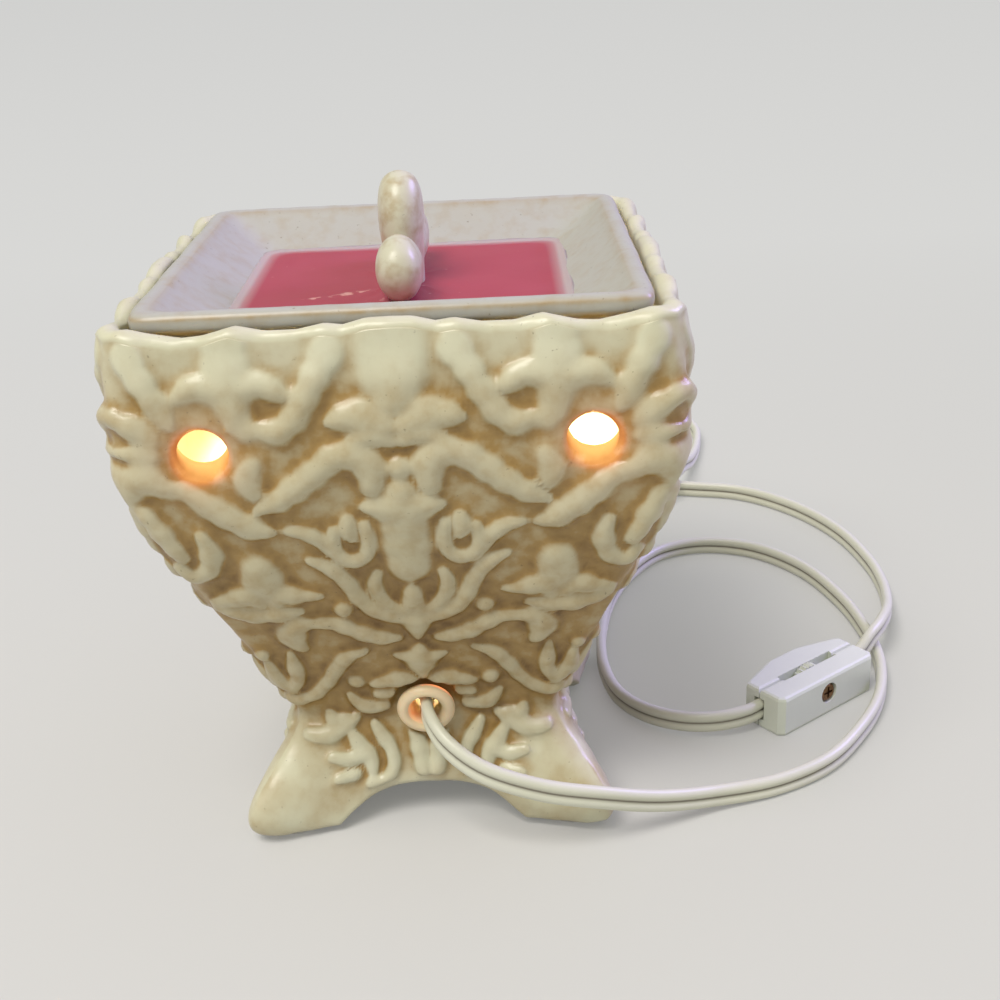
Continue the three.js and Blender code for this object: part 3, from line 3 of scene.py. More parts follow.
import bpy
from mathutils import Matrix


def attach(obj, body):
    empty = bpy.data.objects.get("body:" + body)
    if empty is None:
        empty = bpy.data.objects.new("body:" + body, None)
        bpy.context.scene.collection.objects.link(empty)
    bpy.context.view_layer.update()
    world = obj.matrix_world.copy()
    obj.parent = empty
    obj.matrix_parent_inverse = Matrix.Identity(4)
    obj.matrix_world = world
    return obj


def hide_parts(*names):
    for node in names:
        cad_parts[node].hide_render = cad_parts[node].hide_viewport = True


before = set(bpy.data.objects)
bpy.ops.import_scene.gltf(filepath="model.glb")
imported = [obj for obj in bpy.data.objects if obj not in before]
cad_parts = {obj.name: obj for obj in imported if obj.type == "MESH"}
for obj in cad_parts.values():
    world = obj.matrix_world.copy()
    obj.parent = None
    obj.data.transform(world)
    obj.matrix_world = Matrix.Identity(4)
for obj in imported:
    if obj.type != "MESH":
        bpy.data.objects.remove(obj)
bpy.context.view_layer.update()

import math
from collections import namedtuple

import bpy
import numpy as np
from mathutils import Matrix

bl_info = {
    "name": "Electric wax warmer",
    "version": (1, 0, 0),
    "blender": (4, 5, 0),
    "location": "View3D > Sidebar > Warmer",
    "description": "Builds the visible pieces of a ceramic wax warmer on its packed frame",
    "category": "Object",
}

MM = 0.001
TAU = 2 * math.pi

# Camera of the photograph: degrees down, sideways and rolled, its place in metres and its lens in mm
CAMERA_PITCH, CAMERA_YAW, CAMERA_ROLL = 23.04, -0.43, -2.69
CAMERA_PLACE, CAMERA_LENS, CAMERA_SENSOR = (0.0230, -0.3358, 0.2152), 50.33, 36.0

# Studio lamps: name, place and size in metres, watts and tint; they look at a point over the floor
LAMPS = [
    ("key", (-0.85, -1.20, 2.4), 1.3, 62.0, "#fffaf2"),
    ("side", (1.0, 0.35, 0.75), 0.5, 12.0, "#b7a6ff"),
]
LAMP_AIM, BULB_PLACE = (0, 0, 0.07), (0, 0, 0.1)
WORLD_TINT, WORLD_STRENGTH = (0.9, 0.9, 0.92, 1), 0.56
FLOOR_CORNERS = [(-4, -4, 0), (4, -4, 0), (4, 6, 0), (-4, 6, 0)]

# Ceramic body, mm
RIM_HEIGHT, RIM_HALF, RIM_ROUND = 138.0, 61.8, 2.2
BELLY_HALF, BELLY_HEIGHT = 62.6, 118.0
WAIST_HALF, WAIST_HEIGHT = 34.0, 31.0
SKIRT_HALF, FOOT_REACH, FOOT_HEIGHT, TOE_TUCK = 41.0, 47.6, 6.5, 3.6
WALL, CORNER_POWER = 5.0, 20
ARCH_SPAN, ARCH_HEIGHT, ARCH_POWER = 51.0, 10.4, 2.6
FOOT_BOTTOM, FOOT_INNER_HALF, FOOT_ROUND, TOE_SHARE = 1.3, 26.0, 1.8, 0.965
FLOOR_UNDERSIDE, FLOOR_TOP, STEM_HOLE = 15.0, 19.5, 5.1
HOLE_OFFSET, HOLE_HEIGHT, HOLE_RADIUS, HOLE_CLIMB = 41.7, 111.5, 5.7, 2.6
LEDGE_TOP, LEDGE_HALF, LEDGE_TIP, LEDGE_FOOT = 127.2, 20.0, 49.3, 116.2
# the ground of the relief lies this deep under the plain face
GROUND = 1.0

# Grid of one side: columns, rows below and above the split height and their step inside, slope of each column,
# row of each kind of hole and half width of its block of cells, and angles over the rim
ACROSS, LOW_ROWS, HIGH_ROWS, SPLIT, LOW_STEP = 112, 32, 108, 32.0, 0.93
LIGHT_ROW, LIGHT_BLOCK, GLAND_ROW, GLAND_BLOCK = 83, 5, 1, 6
SLOPE = (-1 + 2 * np.arange(ACROSS) / ACROSS)[None]
RIM_BEND = np.linspace(0, math.pi, 9)[1:-1, None]
# Rows of the inner wall, close only at the holes
WALL_ROWS = np.concatenate([[106, 101, 96, 92], np.arange(90, 75, -1), [70, 60, 50, 40, 30, 20, 13, 10],
                            np.arange(8, -8, -1), [-10, -13]])
# One side: its strips of points, and what the holes take of its outer face and inner wall
Side = namedtuple("Side", "strips face_gone wall_gone")
OUTER, RIM, INNER, STRIPS = 0, 1, 2, 7

# Dish and wax, mm
DISH_FLOOR, DISH_SIDE, LIP_UNDERSIDE, LIP_EDGE = 125.9, 53.0, 135.9, (55.2, 139.4)
WAX_UNDERSIDE, WAX_TOP, WAX_HALF, WAX_OVERLAP = 126.3, 131.5, 39.9, 0.4
WAX_DRIPS = [(-23, -12.6), (-4.5, -6.4)]
HANDLE_FOOT_X, HANDLE_FOOT_Y = 4.6, 22.0
BOWL_HALF, BOWL_TOP, BOWL_IN, BOWL_DOWN, BOWL_POWER = 51.2, 140.1, 20.2, 14.1, 0.92

# Flat lead with its ring, switch, coil and plug, mm
CORD_WIDTH, CORD_REST, CORE_RADIUS, SINGLE_RADIUS = 6.0, 3.2, 1.5, 1.2
GLAND_HEIGHT, GLAND_HOLE, GLAND_REACH, WALL_FACE = 32.7, 4.9, 7.2, 33.8
SWITCH_X, SWITCH_Y, SWITCH_TURN = 105.6, 11.6, math.radians(37.4)
COIL_X, COIL_Y, COIL_RADIUS, COIL_TURNS = -6.0, 111.0, 38.0, 3
COIL_PITCH, COIL_LAYER, COIL_HEIGHT, COIL_LEAD = 6.6, 6.5, 4.3, 6.0
PLUG_X, PLUG_Y, PLUG_HEIGHT = -38, 149.5, 7.0

# Relief ornament of one face, right half; the left half mirrors it. Each stroke: x, z and half width, mm.
RELIEF = [
    # shield under the rim, and the leaves and dot below it
    [(0, 134, 5.2), (0, 127, 4.6), (0, 123, 3), (0, 120.6, 0.8)],
    [(1.5, 116.2, 1.6), (5, 118.4, 2.9), (9.5, 119, 2.6), (14, 118, 0.9)],
    [(1, 113.2, 1.2), (5, 114.6, 1.6), (10, 114, 0.8)],
    [(0, 107.2, 1.9), (0, 107, 1.9)],
    # comma leaves across the belly
    [(6.8, 102.2, 1.6), (5.8, 106, 2.6), (8.2, 110.2, 2.7), (12.8, 110.3, 2.4), (18, 106.6, 2.4),
     (23, 102.6, 2.3), (28, 99.2, 1.8), (31.5, 97.8, 0.7)],
    [(46, 104, 1.5), (42, 100, 2.3), (37, 96, 2.5), (32.5, 93, 2.2), (28.8, 92, 0.9)],
    [(30.5, 110, 1.4), (32.5, 106.5, 2.2), (32.3, 102.6, 1.5), (31.5, 100.6, 0.5)],
    # lily under the rim with its two lobes
    [(34, 136.5, 3.2), (34, 130, 3.6), (33.5, 124, 3.2), (33, 119, 2), (32, 115, 1.2)],
    [(30, 126.5, 2), (27, 127, 2.3), (23.5, 124.6, 1.6)],
    [(37.5, 126, 2), (40.5, 127.2, 2.2), (44, 124.8, 1.4)],
    [(13, 133, 2.6), (15.8, 128, 2.3), (18.6, 123, 2.2), (21.5, 118.6, 2.2), (25, 116.3, 2.1),
     (28.3, 117.2, 1.4)],
    # corner leaves
    [(54, 133.5, 2.4), (51.5, 128, 2.2), (48.8, 122.6, 2), (46.6, 118.8, 1.2)],
    [(50, 115.2, 1), (54, 118, 2), (58.5, 120.5, 1.8)],
    [(50, 112, 0.8), (54, 112.5, 1.4), (58.5, 112.6, 1)],
    [(49, 103.4, 1.6), (53, 106.6, 2.6), (57.5, 105.6, 3), (59.5, 101, 2.6)],
    [(55.5, 98, 1.6), (52.6, 92, 2), (49.6, 86, 1.5)],
    [(44.6, 92, 1.2), (43.2, 87, 2), (44.6, 82, 1.8), (48, 79.8, 1.5), (50.8, 83, 1.2)],
    # crowned vase with its curls
    [(0, 102.5, 1.6), (0, 99, 3.4), (0, 95, 4.2), (0, 90, 3.6), (0, 85, 3.9), (0, 81, 3.4)],
    [(3, 97, 2.6), (6, 97.6, 1.9), (8.6, 97.6, 0.9)],
    [(8.8, 93, 1.1), (8.3, 88.4, 1.3), (9.4, 84.4, 1.5), (12.4, 82.9, 1.6), (15.4, 85, 1.5),
     (16, 88.6, 1.3), (15.6, 92, 1)],
    [(12.2, 94.6, 1.3), (12.6, 91.6, 1.6), (11.8, 89, 0.8)],
    [(25.5, 92.2, 1), (21.5, 91.2, 1.7), (18.6, 88.4, 1.4), (17.6, 85.4, 0.7)],
    # lotus below the vase
    [(22, 83.6, 1), (17.6, 81, 1.6), (14.4, 76.6, 1.7), (12.4, 71.4, 1.7), (9.2, 67.2, 1.7),
     (4.6, 64.6, 1.5), (0.6, 63.4, 1.4)],
    [(7.4, 79, 0.9), (8.3, 75.4, 1.5), (7, 71, 1.4), (4, 67.4, 1.2), (0.4, 66.2, 1)],
    [(0, 74.6, 0.7), (0, 71.4, 2.3), (0, 69.2, 2)],
    [(0, 63, 2.4), (0, 60, 1.8), (0, 57.6, 0.8)],
    # side lilies
    [(33.3, 83.4, 1), (33.3, 80.4, 4), (33.3, 77, 3), (33.3, 73.6, 1)],
    [(32, 70.8, 1), (29.6, 73.4, 2.2), (25.6, 73, 1.9), (20.8, 72.6, 0.8)],
    [(34.6, 70.8, 1), (37.4, 73.4, 2.2), (41, 73, 1.9), (45.6, 72, 0.8)],
    [(26, 68, 0.8), (30, 67.6, 1.6), (35, 67, 2), (40, 68, 1.8), (45, 70, 0.9)],
    [(16.5, 68, 1.7), (16.4, 67.8, 1.7)],
    # long leaves and curled leaves above the waist
    [(27.5, 55, 1.2), (29.5, 59, 2.6), (28.6, 63, 2.2), (24, 63.6, 1.5), (19, 63.2, 1.8),
     (14.5, 60.6, 2), (9.5, 58, 2), (4.8, 57.4, 1.1)],
    [(13, 53.2, 0.9), (17.6, 51.4, 1.7), (20.6, 47.4, 1.7), (23.4, 42.4, 1.6), (27.4, 38.2, 1.6),
     (31.6, 36.6, 1.5), (33.4, 38, 1)],
    [(31, 53.4, 0.7), (30.6, 49, 1.6), (30.4, 44.6, 1.6), (32.2, 40.6, 1.3)],
    [(36.6, 50, 1), (35.6, 45.6, 1.6), (34, 41.4, 1.1)],
    [(37.6, 53.4, 1.4), (37.5, 53.2, 1.4)],
    # small lily and heart above the lead
    [(0, 54.6, 0.7), (0, 51.6, 2.2), (0, 48, 2.6), (0, 44.6, 1.2), (0, 42.6, 0.4)],
    [(2, 50.6, 1.6), (4.4, 51, 1.2), (6.2, 51.4, 0.6)],
    [(1.5, 40, 1), (4.6, 42.6, 2), (8.4, 42.4, 2), (12.4, 41, 0.9)],
    [(8, 37.4, 1.2), (11.6, 37.4, 1.2)],
    [(16.5, 42.4, 1.7), (16.4, 42.2, 1.7)],
    # scrolls on the skirt
    [(18.6, 37.6, 0.8), (16.4, 34.4, 1.7), (13, 32.6, 1.9), (9.4, 33.4, 1.2)],
    [(24.2, 31.6, 1), (23.2, 29, 1.8), (20, 29.6, 1.2)],
    [(30, 25.6, 1.2), (26, 25, 1.8), (21.6, 26.4, 1.6), (18, 29.4, 1.2)],
    [(13.4, 27.4, 1), (11.6, 23.8, 1.6), (9.6, 20, 1.4), (9.2, 15.6, 1.4), (11.4, 12, 1.4),
     (15.4, 11.8, 1.2)],
    [(19, 24.6, 1.2), (17.2, 21.4, 1.8), (15, 17.6, 1.6), (14.6, 14.6, 1)],
    [(24.6, 19.8, 1), (20.4, 18.6, 1.4), (17, 18.6, 1)],
    [(23.4, 14.4, 1), (19, 14.4, 1.2)],
    [(3.4, 26, 1.5), (2.4, 20, 1.8), (1.6, 13.6, 1.7)],
]

# A stroke's edge ripples: radians a mm, phase, share of the width and least half width. Its ridge: foot in half
# widths, power, and the power of the mean that joins strokes; and how far its outline reaches, in half widths.
RIPPLE_RATE, RIPPLE_PHASE, RIPPLE_SHARE, RIPPLE_FROM = 1.25, 0.6, 0.14, 1.2
RIDGE_FOOT, RIDGE_POWER, JOIN_POWER, OUTLINE_REACH = 1.55, 2.2, 5, 2.4

# Height of the scalloped rim over |x|, mm
SCALLOP_X = [0, 5, 10, 14, 20, 27, 33, 40, 45, 52, 57, 62]
SCALLOP_Z = [1.3, 1.2, 0.0, 0.5, -0.6, -0.6, 0.7, -1.0, -1.4, -0.2, 0.8, 0.4]


def switch_point(along, z):
    """A point on the switch's own line, along millimetres from its middle."""
    return (SWITCH_X + along * math.cos(SWITCH_TURN), SWITCH_Y + along * math.sin(SWITCH_TURN), z)


def at_height(z, *points):
    """Points of the lead that lie at one height."""
    return [(x, y, z) for x, y in points]


# The lead from the ring to the switch, on to the coil, and from there to the plug, mm
TO_SWITCH = [
    (0, -25.7, 32.7), (0, -34.1, 32.7), (1, -41.1, 32.3), (5, -47.6, 29), (13, -52, 24.2), (27, -53.5, 19),
    (41.8, -51.2, 14.4), (57, -45.4, 8.6), (73, -38.2, 4.4),
    *at_height(CORD_REST, (89.5, -32.6), (104.4, -23.6), (117.2, -8), (124.4, 4.5), (128.8, 17), (131.2, 31.1),
               (131.3, 46), (128.9, 67.1), (120.7, 92.1), (106.6, 108.6), (89.7, 113.8), (75.1, 109), (63, 94),
               (55, 75.5), (51, 58.2), (49.2, 43), (49.2, 28.5), (52, 14.6)),
    (58.6, 3.8, 3.8), (68.2, -3, 4.6), (78, -5, 5.4),
    switch_point(-24.25, 6), switch_point(-19.75, 6), switch_point(-13.85, 6),
]
TO_COIL = [
    switch_point(13.85, 6), switch_point(19.75, 6), switch_point(24.25, 7.4), (128.2, 29.6, 9.9),
    (132, 34.6, 10.6), (135.4, 41.2, 10), (138.6, 49.4, 8.2), (142.2, 62.7, 5),
    *at_height(CORD_REST, (144.6, 77), (144.6, 93), (139.6, 120.4), (127.9, 143.6), (111.7, 159.4), (93.3, 165.5),
               (73, 170.5), (55, 185), (46.5, 208), (51, 232), (66, 250), (85, 255), (99.4, 245.6), (104, 228),
               (101.6, 209)),
    (97, 192, 4.6), (92.4, 178, 8.4), (87.8, 166, 10.2), (81.6, 156, 8.4), (72, 148.6, 5),
    *at_height(COIL_HEIGHT, (58, 144.6), (40, 145), (22, 147.8), (6, 149), (0.3, 149)),
]
TO_PLUG = [(-12.3, 149, 10.8), (-18, 149, 10.2), (-26, 149.2, 8.2),
           *at_height(PLUG_HEIGHT, (-34, PLUG_Y), (PLUG_X, PLUG_Y), (-42.4, PLUG_Y))]
# Single leads inside, from the flat lead's end to the terminals, mm
LINE_LEAD = [(0, -25.4, 34.2), (-0.9, -22.2, 33.9), (-1.9, -17, 31.15), (-2, -12, 27.3), (-3, -6.4, 27.1),
             (-5.8, -1.6, 27.6), (-6.5, 0, 30.3), (-6.5, 0, 31.6)]
NEUTRAL_LEAD = [(0, -25.4, 31.2), (0.9, -22.2, 30.9), (1.9, -17, 29.65), (2, -12, 27.3), (3, -6.4, 27.1),
                (5.8, -1.6, 27.6), (6.5, 0, 30.3), (6.5, 0, 31.6)]

# Cast handle in its own plane: y, z, half breadth in the plane and half thickness, mm
LOBE = [(0, 122.5, 6.5, 4.7), (0, 128, 6.2, 4.7), (0, 134, 6.6, 4.8), (0, 140, 7.4, 5.0), (0, 146, 8.3, 5.5),
        (0, 150, 8.2, 5.5), (0, 154, 6.7, 5.0), (0, 156.8, 4.3, 3.8), (0, 158.2, 1.7, 1.7), (0, 158.5, 0.2, 0.2)]
PETAL = [(0, 137, 5.4, 4.2), (6, 137, 5.2, 4.3), (11, 137.3, 5.8, 4.9), (15.5, 138.6, 7.2, 5.5),
         (19.5, 139.4, 7.8, 5.5), (23.4, 139.6, 6.4, 5.0), (25.8, 139.6, 4.0, 3.6), (26.8, 139.6, 1.7, 1.7),
         (27, 139.6, 0.2, 0.2)]

# Profiles in (half width or radius, height or depth) and the plug's (along, half width, half height), mm
DISH_OUTSIDE = [(34, 121.8), (42, 123.4), (48, 127.45), (52.7, 127.5), (53.2, 128.6), (53.2, 135.2), (54.2, 136.0),
                (55.2, 136.9), (55.4, 138.3), LIP_EDGE, (54.3, 140.3), (53.0, 140.5), (BOWL_HALF, BOWL_TOP)]
WAX_EDGE = [(39.6, 131.83), (38.8, 131.65), (37.6, 131.54)]
RING_NECK = [(3.9, 26.7), (6.2, 26.7), (6.2, 28.7), (4.6, 28.7), (4.6, 34.1)]
RING_DOUGHNUT = [(6.3, 33.95), (7.0, 34.5), (GLAND_REACH, 35.3), (6.9, 36.3), (6.2, 37.0), (5.4, 37.25),
                 (4.6, 36.9), (4.1, 36.1), (3.9, 35.2)]
BULB_PEAR = [(0.6, 98.17), (5.28, 97), (9.5, 93.9), (12.28, 89.2), (13.2, 84.2), (12.94, 80.3), (10.96, 74),
             (7.39, 66.6), (5.55, 61.15), (4.55, 59.2), (4.55, 50.2)]
PLUG_LENGTH = [(0, 3.0, 4.4), (2, 3.6, 4.8), (9, 5.0, 5.4), (12, 7.6, 6.1), (15, 10.8, 6.5), (19, 12.2, 6.5),
               (28, 12.2, 6.5), (30.6, 11.8, 6.2), (31.7, 11.0, 5.5), (32, 9.8, 4.6)]


def srgb(code):
    """A hex colour as linear red, green and blue."""
    channels = np.array([int(code[i:i + 2], 16) for i in (1, 3, 5)]) / 255
    return tuple(np.where(channels <= 0.04045, channels / 12.92, ((channels + 0.055) / 1.055) ** 2.4))


def ease(f):
    """A smooth step from 0 to 1."""
    f = np.clip(f, 0, 1)
    return f * f * (3 - 2 * f)


def bell(distance, spread):
    """A bell curve: 1 at no distance, falling as the exponential of the distance's square in spreads."""
    return np.exp(-(distance / spread) ** 2)


# Sizes and colours that a user would change
class WarmerSizes(bpy.types.PropertyGroup):
    relief_depth: bpy.props.FloatProperty(
        name="Relief depth", description="Height of the damask relief over its ground, mm", default=2.3, min=0.2)
    scallop: bpy.props.FloatProperty(
        name="Rim scallop", description="Share of the rim's scalloped height", default=1.0, subtype="FACTOR")
    lamp_power: bpy.props.FloatProperty(
        name="Lamp power", description="Radiant power of the lit bulb", default=1.5, unit="POWER")
    cord_step: bpy.props.FloatProperty(
        name="Lead step", description="Spacing of the lead's rings, mm", default=2.0, min=0.5)


class WarmerColours(bpy.types.PropertyGroup):
    glaze: bpy.props.FloatVectorProperty(
        name="Glaze", description="Cream of the raised glaze", subtype="COLOR", default=srgb("#d5d3b8"))
    stain: bpy.props.FloatVectorProperty(
        name="Stain", description="Thin film of the wash over the leaves", subtype="COLOR", default=srgb("#9d8049"))
    wash: bpy.props.FloatVectorProperty(
        name="Wash", description="Brown wash in the recesses", subtype="COLOR", default=srgb("#694a15"))
    dish: bpy.props.FloatVectorProperty(
        name="Dish", description="Grey cream of the dish's glaze", subtype="COLOR", default=srgb("#b3b6ae"))
    wax: bpy.props.FloatVectorProperty(
        name="Wax", description="Dyed wax", subtype="COLOR", default=srgb("#a83f4f"))
    lead: bpy.props.FloatVectorProperty(
        name="Lead", description="Flexible insulation of the lead", subtype="COLOR", default=srgb("#d3d4c1"))
    case: bpy.props.FloatVectorProperty(
        name="Switch case", description="Moulded switch case", subtype="COLOR", default=srgb("#d3d8c9"))


def sizes():
    return bpy.context.scene.warmer_sizes


def colours():
    return bpy.context.scene.warmer_colours


# Meshes
NO_FANS = np.zeros((0, 3), int)


def dress(name, made, finish, body, **attributes):
    """Puts points, in millimetres, and faces into a mesh in metres, with attributes of one value a point.
    The piece rides on a body."""
    points, quads, triangles = made
    points = np.reshape(points, (-1, 3)) * MM
    corners = np.concatenate([np.ravel(quads), np.ravel(triangles)]).astype(np.int32)
    counts = np.repeat([4, 3], [len(quads), len(triangles)])
    mesh = bpy.data.meshes.new(name)
    mesh.vertices.add(len(points))
    mesh.vertices.foreach_set("co", points.ravel())
    mesh.loops.add(len(corners))
    mesh.loops.foreach_set("vertex_index", corners)
    mesh.polygons.add(len(counts))
    mesh.polygons.foreach_set("loop_start", np.cumsum(counts) - counts)
    mesh.polygons.foreach_set("use_smooth", np.full(len(counts), True))
    mesh.update(calc_edges=True)
    mesh.validate()
    for label, values in attributes.items():
        layer = mesh.attributes.new(label, "FLOAT", "POINT")
        layer.data.foreach_set("value", np.asarray(values, np.float32).ravel())
    mesh.materials.append(material(finish))
    piece = bpy.data.objects.new(name, mesh)
    bpy.context.scene.collection.objects.link(piece)
    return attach(piece, body)


def finish_nodes(finish, *names):
    """Gives CAD nodes their finish through their own material slots."""
    for name in names:
        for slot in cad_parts[name].material_slots:
            slot.link = "OBJECT"
            slot.material = material(finish)


def grid_quads(rows, columns, close_rows=False):
    """Faces of a grid of rows by columns whose columns close on themselves, as its rows may too."""
    r, c = np.meshgrid(np.arange(rows if close_rows else rows - 1), np.arange(columns), indexing="ij")
    up, on = (r + 1) % rows, (c + 1) % columns
    return np.stack([r * columns + c, r * columns + on, up * columns + on, up * columns + c], -1).reshape(-1, 4)


def capped(grid):
    """Points, quads and end fans of a tube given as rows of rings: each end is closed to its ring's middle."""
    rows, columns = grid.shape[:2]
    points = np.concatenate([grid.reshape(-1, 3), grid[:1].mean(1), grid[-1:].mean(1)])
    k = np.arange(columns)
    on = (k + 1) % columns
    base = (rows - 1) * columns
    low = np.stack([0 * k + rows * columns, on, k], 1)
    high = np.stack([0 * k + rows * columns + 1, base + k, base + on], 1)
    return points, grid_quads(rows, columns), np.concatenate([low, high])


def with_ends(values):
    """Values on a tube's rings, and none at the middles of its two ends."""
    return np.append(values, [0, 0])


def joined(parts):
    """Several meshes of points, quads and end fans as one."""
    starts = np.cumsum([0] + [len(part[0]) for part in parts])
    moved = [(p, q + start, f + start) for (p, q, f), start in zip(parts, starts)]
    return [np.concatenate(stack) for stack in zip(*moved)]


def unit(vectors):
    """Vectors brought to length one."""
    return vectors / np.maximum(np.linalg.norm(vectors, axis=-1, keepdims=True), 1e-9)


def run_along(curve):
    """Distance along a curve at each of its points."""
    return np.concatenate([[0], np.cumsum(np.linalg.norm(np.diff(curve, axis=0), axis=1))])


def spline(points, per=12):
    """A centripetal Catmull-Rom curve through points of any number of values, with per steps in each span."""
    p = np.asarray(points, float)
    p = np.concatenate([[2 * p[0] - p[1]], p, [2 * p[-1] - p[-2]]])
    a, b, c, d = p[:-3], p[1:-2], p[2:-1], p[3:]
    gap = lambda u, v: np.maximum(np.linalg.norm(v - u, axis=1, keepdims=True) ** 0.5, 1e-6)
    ab, bc, cd = gap(a, b), gap(b, c), gap(c, d)
    leave = ((b - a) / ab - (c - a) / (ab + bc) + (c - b) / bc) * bc
    arrive = ((c - b) / bc - (d - b) / (bc + cd) + (d - c) / cd) * bc
    u = (np.arange(per) / per)[None, :, None]
    b, c, leave, arrive = (q[:, None, :] for q in (b, c, leave, arrive))
    square, cube = 3 * c - 3 * b - 2 * leave - arrive, 2 * b - 2 * c + leave + arrive
    curve = b + leave * u + square * u ** 2 + cube * u ** 3
    return np.concatenate([curve.reshape(-1, p.shape[1]), p[-2:-1]])


def even(curve, step):
    """The same curve with points a step apart."""
    run = run_along(curve)
    at = np.linspace(0, run[-1], max(2, int(round(run[-1] / step)) + 1))
    return np.stack([np.interp(at, run, values) for values in curve.T], 1)


def circle(count):
    """Angles of points once round."""
    return np.arange(count) / count * TAU


def ellipse(wide, high, count):
    """An ellipse of (across, up) pairs, or one for each row of half widths and half heights."""
    return np.stack([wide * np.cos(circle(count)), high * np.sin(circle(count))], -1)


def carried(path, section, up=(0, 0, 1.0)):
    """A section of (across, up) pairs carried upright along a path: rows of rings. A section may change by row."""
    along = unit(np.gradient(path, axis=0))
    side = unit(np.cross(along, up))
    rise = np.cross(side, along)
    return path[:, None] + section[..., :1] * side[:, None] + section[..., 1:2] * rise[:, None]


def turned(profile, around):
    """A profile of (radius, height) pairs turned about the Z axis: rows of rings."""
    angle = circle(around)
    r, z = profile[:, :1], profile[:, 1:2]
    return np.stack([r * np.cos(angle), r * np.sin(angle), z + 0 * angle], -1)


def four_sides(x, y, z):
    """One side's arrays of points, rows by columns, turned to the four sides, counter-clockwise from above."""
    quarters = ((1, 0), (0, 1), (-1, 0), (0, -1))
    return np.concatenate([np.stack([c * x - s * y, s * x + c * y, z], -1) for c, s in quarters], 1)


def rounded(t, power):
    """Share of a rounded square's half width at which its side stands, at slope t."""
    return (1 + np.abs(t) ** power) ** (-1 / power)


def square_reach(t, face, corner):
    """Distance of a rounded square's side at slope t = x / distance; its corners reach to corner."""
    return (face + (corner - face) * ease((np.abs(t) - 0.3) / 0.7)) * rounded(t, CORNER_POWER)


def square_rings(profile, power, across=36):
    """Rows of rounded square rings from (half, height) pairs. At slope t a side stands out by
    half / (1 + |t|^power)^(1/power), and t runs as a sine so that points close up towards the corners."""
    t = np.sin((-1 + 2 * np.arange(across) / across) * math.pi / 2)[None]
    half, z = profile.T[:, :, None]
    reach = half * rounded(t, power[:, None])
    return four_sides(t * reach, -reach, z + 0 * t)


def outward(grid):
    """Unit normals of a grid of points whose columns close on themselves."""
    across = np.roll(grid, -1, 1) - np.roll(grid, 1, 1)
    return unit(np.cross(across, np.gradient(grid, axis=0)))


def softened(values, spread):
    """A Gaussian blur of a grid of values, spread in cells."""
    taps = np.arange(-int(3 * spread), int(3 * spread) + 1)
    weight = np.exp(-0.5 * (taps / spread) ** 2)
    weight /= weight.sum()
    for axis in (0, 1):
        pads = [(0, 0), (0, 0)]
        pads[axis] = (len(taps) // 2, len(taps) // 2)
        wide = np.pad(values, pads, mode="edge")
        count = values.shape[axis]
        values = sum(w * np.take(wide, np.arange(k, k + count), axis) for k, w in enumerate(weight))
    return values


# Materials. In the nodes' numbered sockets a Map Range reads from 1 to 2 and gives 3 to 4, and a colour Mix goes
# from 6 to 7; 0 is what they read.
def add(tree, kind, inputs=None, **settings):
    """Adds a node, with settings as attributes and inputs as values or as sockets to link from: its outputs."""
    node = tree.nodes.new(kind)
    for key, value in settings.items():
        setattr(node, key, value)
    for key, value in (inputs or {}).items():
        if isinstance(value, bpy.types.NodeSocket):
            tree.links.new(value, node.inputs[key])
        else:
            node.inputs[key].default_value = value
    return node.outputs


def paint(colour):
    """A hex code or a linear colour as a node's four values."""
    return (*(srgb(colour) if isinstance(colour, str) else colour)[:3], 1.0)


